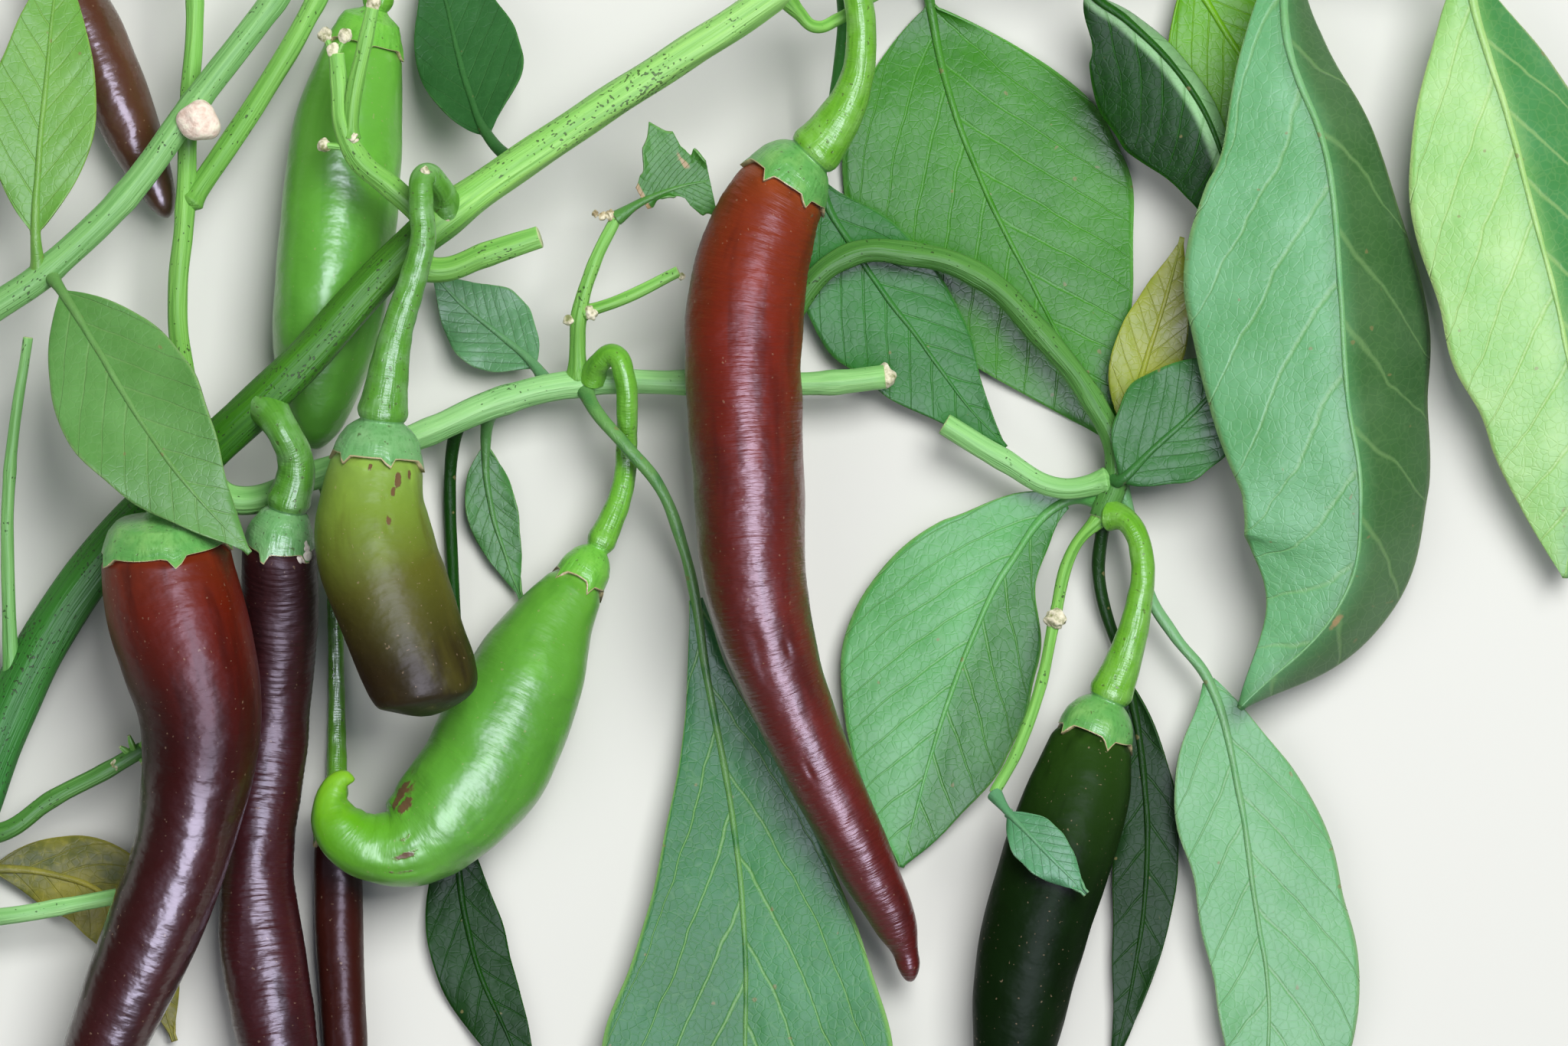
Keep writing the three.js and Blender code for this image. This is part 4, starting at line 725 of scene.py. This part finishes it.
# The tint "right" multiplies the colours beyond the rib. It is painted light and shade: darker on blade
# halves turned from the light, lighter on the centre leaf, and a pale strip on the twisted leaf; "split"
# holds where that half begins, how softly, and how clear the side veins are
LEAF = dict(slot="leaf", first=1, tilts=(0, 0), rod=(1.0, 0.7), right=(1, 1, 1), split=(0.0, 3.0, 0.28),
            sweep=1.35)
LEAVES = {
    "leaf_centre": dict(first=5, tilts=(4, 4), right=(1.595, 1.298, 1.434), split=(0.0, 3.0, 0.42),
        sweep=2.1,
        tones=[(0.016, 0.127, 0.028), (0.026, 0.161, 0.048), (0.24, 0.46, 0.13)],
        widths=([0.9, 2.9, 6.4, 10.5, 13.8, 17.2, 19.9, 20.2, 17, 10, 0.1],
                [0.9, 2.6, 5.6, 9.2, 12.4, 16.6, 19.4, 19.8, 16.5, 9.5, 0.1]),
        points=[(-28.4, 19.6, 7.2), (-26.6, 15.9, 10.5), (-22.3, 10.9, 12), (-17.6, 5.2, 10.5),
        (-14.5, -2.5, 8.5), (-12.5, -10.8, 6.5), (-11, -21.2, 5.4), (-9.7, -27.8, 5), (-7.2, -42.1, 5),
        (-5.7, -56.4, 5), (-5.5, -73.4, 3.6), (-6.8, -93.8, 2.2), (-9.3, -112.5, 1)]),
    "leaf_right": dict(tilts=(-52, -12), right=(0.423, 0.384, 0.287),
        tones=[(0.083, 0.294, 0.103), (0.137, 0.372, 0.177), (0.247, 0.426, 0.161)],
        widths=([1, 5, 6.5, 8.5, 11.6, 12.9, 12, 9.8, 7.6, 4.5, 0.2],
                [1, 5.5, 12.5, 18.5, 21.8, 20.3, 18, 16.6, 15, 7, 0.2]),
        points=[(70.4, 87, 16.6), (70.4, 81.1, 17), (70.4, 67.9, 19), (75.9, 51.4, 20), (77.7, 34.9, 20),
        (78.8, 18.4, 19.5), (80.8, 3, 18), (78.7, -10.2, 15), (64.1, -26.2, 10)]),
    "leaf_far_right": dict(slot="leaf_pale", tilts=(-35, -8), right=(0.225, 0.451, 0.453),
        tones=[(0.21, 0.463, 0.117), (0.324, 0.559, 0.202), (0.445, 0.599, 0.234)],
        widths=([1, 5, 9, 11.6, 12.8, 13, 12.4, 10.8, 8.5, 5, 0.2],
                [1, 6.5, 12.5, 15.3, 16.3, 16.4, 16, 14, 11.5, 7, 0.2]),
        points=[(93.5, 83.8, 14.6), (95.7, 78.3, 14), (97.3, 71.2, 13.5), (101.8, 56.9, 13),
        (105, 44.8, 13), (109.5, 27.2, 12), (111.7, 11.8, 10), (110.3, -7.8, 6)]),
    "leaf_lower_right": dict(slot="leaf_pale", first=4, tilts=(-4, 4),
        tones=[(0.095, 0.308, 0.112), (0.133, 0.363, 0.152), (0.234, 0.37, 0.187)],
        widths=([0.8, 4, 7.9, 10.6, 12.2, 12.8, 12.9, 12.5, 10.5, 6.2, 0.1],
                [0.8, 5.8, 9, 9.4, 8.4, 8, 7.6, 7, 5.6, 3.2, 0.1]),
        points=[(47, 8, 6.6), (49.4, -1.5, 4.8), (51.8, -10.5, 5), (55, -15.7, 5), (60, -22.3, 5),
        (63.8, -35.6, 4.8), (66.5, -53.1, 4.6), (68.6, -69.6, 4), (66, -90.5, 1.8)]),
    "leaf_middle": dict(slot="leaf_pale", tilts=(0, -2), right=(0.225, 0.464, 0.066),
        tones=[(0.058, 0.274, 0.059), (0.097, 0.346, 0.106), (0.172, 0.387, 0.106)],
        widths=([1, 3, 4.3, 7.5, 10, 11, 10.8, 9.8, 7.6, 4.4, 0.1],
                [1, 6.5, 11, 14.5, 16.5, 16.6, 15.6, 13, 9.5, 5, 0.1]),
        points=[(45.7, 3, 6.7), (39.8, 3, 4.2), (31.9, -5.8, 4.2), (26.4, -16.8, 4.2), (22, -28.9, 4),
        (16.5, -48.7, 2.6)]),
    # The twisted leaf: its near black greens are painted shade, and the tint beyond its rib makes that strip
    # pale green
    "leaf_twisted": dict(slot="leaf_dark", first=2, tilts=(-70, -15), right=(43.52, 10.56, 82.08),
        split=(1.5, 0.5, 0.3), halves=(6, 13),
        tones=[(0.004, 0.03, 0.002), (0.006, 0.049, 0.003), (0.03, 0.164, 0.011)],
        points=[(40.7, 86.8, 19.3), (41.6, 80, 16), (42.9, 75, 13), (48.4, 70.6, 11.8), (55, 64, 11.5),
        (60.4, 55.2, 11), (62.6, 46, 10), (61.5, 37, 9)]),
    "leaf_back_large": dict(first=2, halves=(20, 20),
        tones=[(0.025, 0.159, 0.003), (0.036, 0.2, 0.004), (0.14, 0.38, 0.09)],
        points=[(19.8, 82.7, 21.2), (19.8, 81.1, 8), (20.7, 73.4, 1.2), (23.6, 60.2, 0.9), (28.6, 47, 0.9),
        (36.3, 31.6, 0.9), (46.8, 11.2, 0.9)]),
    "leaf_back_upper": dict(slot="leaf_pale", first=2, halves=(10, 10),
        tones=[(0.082, 0.283, 0.002), (0.112, 0.34, 0.004), (0.193, 0.428, 0.009)],
        points=[(53.4, 87.7, 18.1), (53.9, 83.3, 10), (57.2, 77.8, 5), (62.7, 69, 3.8), (68.8, 59.1, 3.8),
        (73.2, 48.6, 3.8)]),
    "leaf_node": dict(halves=(8.8, 7.5),
        tones=[(0.025, 0.123, 0.025), (0.036, 0.157, 0.037), (0.058, 0.201, 0.041)],
        points=[(46.8, 6.3, 6.6), (47.3, 6, 8.8), (51.7, 10.1, 9.5), (58.3, 16.2, 10), (66, 25, 9.5)]),
    "leaf_small": dict(rod=(0.7, 0.5), halves=(3.6, 3.6),
        tones=[(0.058, 0.214, 0.086), (0.09, 0.274, 0.146), (0.148, 0.325, 0.166)],
        points=[(29.5, -38, 13.5), (31.4, -40.5, 15.5), (35.8, -45.2, 17.2), (42.4, -52, 17.4)]),
    "leaf_chewed": dict(tilts=(10, -10), rod=(0.7, 0.5),
        tones=[(0.03, 0.15, 0.01), (0.065, 0.22, 0.04), (0.16, 0.34, 0.11)],
        widths=([2.2, 3.2, 4, 7.4, 9.9, 9.0, 8.0, 7.0, 5.6, 4.2, 2.8],
                [1.2, 1.2, 0.9, 0.8, 1.0, 1.6, 2.4, 3.4, 4.4, 4.8, 4.4]),
        points=[(-23.6, 42.8, 13), (-19.8, 45.2, 13.5), (-15.4, 47, 14), (-10.4, 48.1, 14)]),
    "leaf_front": dict(tilts=(4, 4), halves=(10, 10),
        tones=[(0.076, 0.218, 0.045), (0.113, 0.282, 0.077), (0.189, 0.333, 0.115)],
        points=[(-103.4, 35.4, 15), (-101.2, 32.5, 18), (-95.7, 23.9, 22), (-89.1, 13.4, 26.5),
        (-82.5, 4.6, 28.4), (-74.3, -4.2, 28.6)]),
    "leaf_yellow_low": dict(slot="leaf_yellow", halves=(7, 6),
        tones=[(0.05, 0.07, 0.012), (0.33, 0.3, 0.04), (0.3, 0.28, 0.07)],
        points=[(-118.2, -49.8, 4.5), (-112.2, -49, 2.2), (-103.4, -49.8, 1.8), (-95.7, -53.1, 1.8),
        (-90.2, -61.9, 1.6), (-86.3, -73.4, 1.4)]),
    "leaf_top_left": dict(slot="leaf_pale", tilts=(4, 4), halves=(7.5, 7.5),
        tones=[(0.105, 0.288, 0.041), (0.145, 0.341, 0.061), (0.21, 0.38, 0.074)],
        points=[(-104.5, 34.6, 14.9), (-104.9, 40.4, 17.5), (-104.5, 49.2, 18.5), (-103.4, 61.3, 18.5),
        (-102.3, 73.4, 17.5), (-101.6, 81.1, 16)]),
    "leaf_dark": dict(slot="leaf_dark", first=3, halves=(8, 11),
        tones=[(0.018, 0.128, 0.016), (0.029, 0.178, 0.027), (0.07, 0.22, 0.05)],
        points=[(7.5, 78.4, 22), (8.4, 71.2, 14), (7, 59.1, 8), (5.1, 48.6, 4), (11, 37.1, 3.4),
        (19.8, 25, 3.4), (25.9, 16.7, 3.2), (31.4, 10.7, 3)]),
    "leaf_yellow_right": dict(slot="leaf_yellow", halves=(5, 5),
        tones=[(0.2, 0.267, 0.018), (0.288, 0.322, 0.033), (0.336, 0.377, 0.066)],
        points=[(46.8, 7.4, 6.6), (48.4, 11.8, 4.6), (50.8, 21.7, 4.6), (53.9, 31.6, 4.6),
        (56.3, 40.4, 4.6)]),
    "leaf_back_dark": dict(slot="leaf_dark", halves=(6, 9),
        tones=[(0.018, 0.082, 0.019), (0.028, 0.116, 0.03), (0.055, 0.177, 0.044)],
        points=[(-37.4, 50, 21), (-41.8, 54.7, 15), (-44.9, 62.4, 10), (-47.7, 73.4, 6), (-50, 82.7, 4)]),
    "leaf_back_mid": dict(halves=(6, 6),
        tones=[(0.068, 0.208, 0.081), (0.099, 0.272, 0.117), (0.167, 0.344, 0.152)],
        points=[(-33, 18.9, 7.2), (-35.2, 22.2, 5.4), (-39.6, 26.1, 4.2), (-45.1, 30.5, 3.6),
        (-49.7, 35.1, 3.2)]),
    "leaf_back_narrow": dict(halves=(3.6, 3.6),
        tones=[(0.04, 0.153, 0.032), (0.064, 0.216, 0.056), (0.144, 0.324, 0.096)],
        points=[(-41.6, 16.4, 7.3), (-42.2, 11.2, 4), (-41.6, 3, 2.6), (-39.6, -4.2, 1.8),
        (-37.2, -10.8, 1.5)]),
    # A leaf that lies in shade: its near black greens are painted shade
    "leaf_back_low": dict(first=4, rod=(0.9, 0.7), halves=(5, 6),
        tones=[(0.004, 0.028, 0.002), (0.005, 0.041, 0.002), (0.013, 0.074, 0.005)],
        points=[(-46, 14.8, 7.6), (-47.2, 7.4, 3), (-46.8, -9.1, 1.3), (-46, -25.6, 1.1),
        (-46.5, -42.1, 1.1), (-44, -60.8, 1.4), (-39, -72.9, 1.5), (-34.1, -83.9, 1.2)]),
    "leaf_dark_low": dict(slot="leaf_dark", first=2, halves=(4.5, 5),
        tones=[(0.005, 0.028, 0.003), (0.008, 0.041, 0.006), (0.02, 0.073, 0.009)],
        points=[(45.3, 1.9, 6.8), (44.6, -8, 3.2), (48.6, -22, 2.2), (51, -36.6, 2), (51.3, -49.8, 2),
        (49.5, -64.1, 1.8), (46.2, -78.4, 1.4)]),
}


def blade_skin(name, deep, light, vein, right, shift, soft, clear):
    """A leaf's face: clouded green, pale veins that branch from the rib, a fine net, a pale edge, and
    painted light and shade on the half beyond the rib.
    """
    skin = shader(name, Roughness=0.45, Specular_IOR_Level=min(0.34, 0.08 + 1.3 * deep[1]))
    grain = noted("grain", 1)
    edge = noted("edge")
    wobble = times(minus(clouds(grain, 0.12), 0.5), 0.35)
    gap = maths("PINGPONG", plus(noted("vein"), wobble), 0.5)
    width = minus(0.055, times(edge, 0.040))
    main = between(maths("DIVIDE", gap, width), 1.5, 0.2)
    cells = step("TexVoronoi", settings={"feature": "DISTANCE_TO_EDGE"}, Vector=grain, Scale=0.85)
    net = between(cells, 0.11, 0.0)
    fine = clouds(grain, 0.9, 3.0)
    cloud = between(clouds(grain, 0.07, 4.0), 0.35, 0.68)
    colour = blended(cloud, (*deep, 1), (*light, 1))
    colour = tinted(colour, light, between(fine, 0.45, 0.75), 0.3)
    # Painted light and shade: the half beyond the rib is multiplied by its own tint, darkened on most leaves
    # and lightened on the centre leaf
    half = between(step("SeparateXYZ", Vector=grain), shift + soft, shift - soft)
    colour = tinted(colour, right, half, 1.0, "MULTIPLY")
    colour = tinted(colour, vein, net, 0.07)
    colour = tinted(colour, vein, main, clear)
    colour = tinted(colour, vein, between(edge, 0.955, 0.995), 0.7)
    specks = between(clouds(grain, 0.55, 1.0), 0.73, 0.77)
    colour = tinted(colour, (0.20, 0.17, 0.07), specks, 0.6)
    ragged = plus(noted("mark"), times(fine, 0.4))
    feed(Base_Color=tinted(colour, (0.34, 0.25, 0.12), between(ragged, 0.62, 0.78)))
    relief = plus(times(fine, 0.22), times(net, -0.10))
    relief = plus(relief, times(clouds(grain, 0.22), 1.3))
    raised(minus(relief, times(main, 0.35)), 0.20)
    return skin


def across_rows(line, key, rows):
    """What a line holds under that key, where the blade's rows cross it."""
    columns = [np.interp(rows, line["at"][:, 0], line[key][:, k]) for k in range(3)]
    return np.stack(columns, axis=1)[:, None]


for seed, (name, given) in enumerate(LEAVES.items()):
    # The stalk and its rib
    leaf = {**LEAF, **given}
    line = line_of(name + "_rib", leaf["points"], 16, 180)
    at = line["at"]
    base = float(line["knots"][leaf["first"]])
    length = line["total"] - base
    foot, head = leaf["rod"]
    thick = foot + (head - foot) * np.clip(at / base, 0, 1)
    taper = np.clip((at - base) / length, 0, 1)
    thick = thick * (1 - 0.25 * np.clip(6 * taper, 0, 1)) * (1 - taper) ** 0.7 * 0.92 + 0.10
    thick = thick * (1 + knuckle(at, 0, 2.2, 0.5))
    rib = round_piece(line, thick + 0.03 * ripples(at, line["angle"], 300 + seed, 8, 0.15, 2))
    stops = [(place, *(bright * v for v in leaf["tones"][2])) for place, bright in ((0.0, 1.2), (1.0, 1.7))]
    rib.data.materials.append(bark(name + "_rib", stops, 0.72))

    # The blade
    bpy.ops.mesh.primitive_grid_add(x_subdivisions=ACROSS, y_subdivisions=DOWN, size=2)
    blade = bpy.context.object
    blade.name = name + "_whole"
    x, y, _ = np.moveaxis(corners(blade).reshape(DOWN + 1, ACROSS + 1, 3), 2, 0)
    u = np.sign(x) * np.abs(x) ** 1.25
    share = (y + 1) / 2
    beyond = u > 0
    if "widths" in leaf:
        near, far = (smooth(widths, share) for widths in leaf["widths"])
    else:
        swell = np.sin(math.pi * share ** (math.log(0.5) / math.log(WIDEST))) ** FULLNESS
        near, far = (half * math.cos(math.radians(tilt)) * swell
                     for half, tilt in zip(leaf["halves"], leaf["tilts"]))
    reach = np.maximum(np.where(beyond, far, near), 0.35 + 0.3 * (share < 0.02))
    rim = np.where(beyond, 0.0, 2.0)
    reach = reach * (1 + 0.022 * ripples(share * 9, rim, 330 + seed, 9, 0.6, 3))
    if name == "leaf_chewed":
        reach = reach * (1 - 0.26 * np.clip(ripples(share * 9, rim, 350, 5, 0.35, 2), 0, 1))
    out = np.abs(u) * reach
    near, far = (math.tan(math.radians(tilt)) for tilt in leaf["tilts"])
    fall = np.where(beyond, far, near) * reach * (0.6 * np.abs(u) + 0.4 * u ** 2)
    run = (share * length - leaf["sweep"] * out - 0.012 * out ** 2) / (length / SIDE_VEINS)
    run = run + np.where(beyond, 0.5, 0.0)
    quilt = 0.10 * (1 - np.cos(2 * math.pi * run)) / 2 * np.clip(out / 3, 0, 1) * (1 - u ** 4)
    wave = 0.45 * np.abs(u) ** 3 * ripples(share * 10, 1.5 * rim, 360 + seed, 7, 0.35, 3)
    height = fall + quilt + wave - knuckle(out, 0, 2.2, 0.06)
    axis, way, side = (across_rows(line, key, rows=np.linspace(base, line["total"], DOWN + 1))
                       for key in ("axis", "way", "side"))
    side = side / np.linalg.norm(side, axis=2, keepdims=True)
    spots = axis + side * (np.sign(u) * out)[..., None] + np.cross(side, way) * height[..., None]
    spots[..., 2] = np.maximum(spots[..., 2], 0.22 + 0.15 * np.abs(u))
    blade.data.vertices.foreach_set("co", (spots * MM).ravel())
    dry = np.clip((share - 0.93) / 0.07, 0, 1) * np.abs(u) * 0.5
    if name == "leaf_right":
        dry = np.maximum(dry, knuckle(share, 0.84, 0.025, 0.62) * knuckle(u, -0.12, 0.14, 1))
    if name == "leaf_chewed":
        dry = knuckle(share, 0.68, 0.13, 0.62) * knuckle(u, -0.55, 0.22, 1)
        dry = np.maximum(dry, 0.8 * np.clip((0.12 - share) / 0.1, 0, 1))
    note(blade.data, "grain", np.stack([u * reach, share * length, 0 * u], axis=2))
    note(blade.data, "edge", np.abs(u))
    note(blade.data, "vein", run)
    note(blade.data, "mark", dry)
    blade.data.materials.append(blade_skin(name + "_face", *leaf["tones"], leaf["right"], *leaf["split"]))
    thicken = blade.modifiers.new("thickness", "SOLIDIFY")
    thicken.thickness = LEAF_THICKNESS * MM
    thicken.offset = 0
    bpy.context.view_layer.objects.active = blade
    bpy.ops.object.modifier_apply(modifier="thickness")
    bpy.ops.object.shade_smooth()
    rib.select_set(True)
    blade.select_set(True)
    bpy.ops.object.join()
    settle(blade, list(blade.data.materials), leaf["slot"], name)

# The floor. A wide pale sheet under the branch, plain and matt.
bpy.ops.mesh.primitive_plane_add(size=8, location=(0, 0, 0))
floor = bpy.context.object
floor.name = "floor"
floor.data.materials.append(shader("floor_paper", Base_Color=(0.62, 0.63, 0.61, 1), Roughness=0.9))
floor.select_set(False)

# The light and the camera. A broad soft window of light above the upper right, a fill, and a cool
# sky light that shows only as gloss; the camera looks straight down with a long lens.
for name, place, turn, width, depth, power, tint in (
        ("key", (0.40, 0.52, 1.22), (-0.385, 0.317, 0), 0.8, 0.8, 26, (1.0, 0.99, 0.96)),
        ("fill", (-0.9, -0.5, 1.3), (0.307, -0.606, 0), 1.4, 1.4, 7, (1.0, 0.98, 0.94)),
        ("sky", (0.12, -0.36, 1.25), (0.278, 0.095, 0), 0.72, 1.05, 40, (0.78, 0.76, 1.0))):
    bpy.ops.object.light_add(type="AREA", location=place, rotation=turn)
    lamp = bpy.context.object
    lamp.name = name
    lamp.data.shape = "RECTANGLE"
    lamp.data.size = width
    lamp.data.size_y = depth
    lamp.data.energy = power
    lamp.data.color = tint
    lamp.visible_glossy = name == "sky"
    lamp.visible_diffuse = name != "sky"
    lamp.select_set(False)
world = bpy.data.worlds.new("studio")
world.use_nodes = True
world.node_tree.nodes["Background"].inputs[0].default_value = (0.90, 0.95, 1.0, 1)
world.node_tree.nodes["Background"].inputs[1].default_value = 0.16
world.cycles_visibility.glossy = False
bpy.context.scene.world = world
CAMERA_HEIGHT = 1.5438
bpy.ops.object.camera_add(location=(ZERO[0] * MM, ZERO[1] * MM, CAMERA_HEIGHT), rotation=(0, 0, 0))
camera = bpy.context.object
camera.name = "camera"
camera.data.lens = 250
camera.data.sensor_width = 36
bpy.context.scene.camera = camera
bpy.context.scene.view_settings.view_transform = "Standard"
camera.select_set(False)
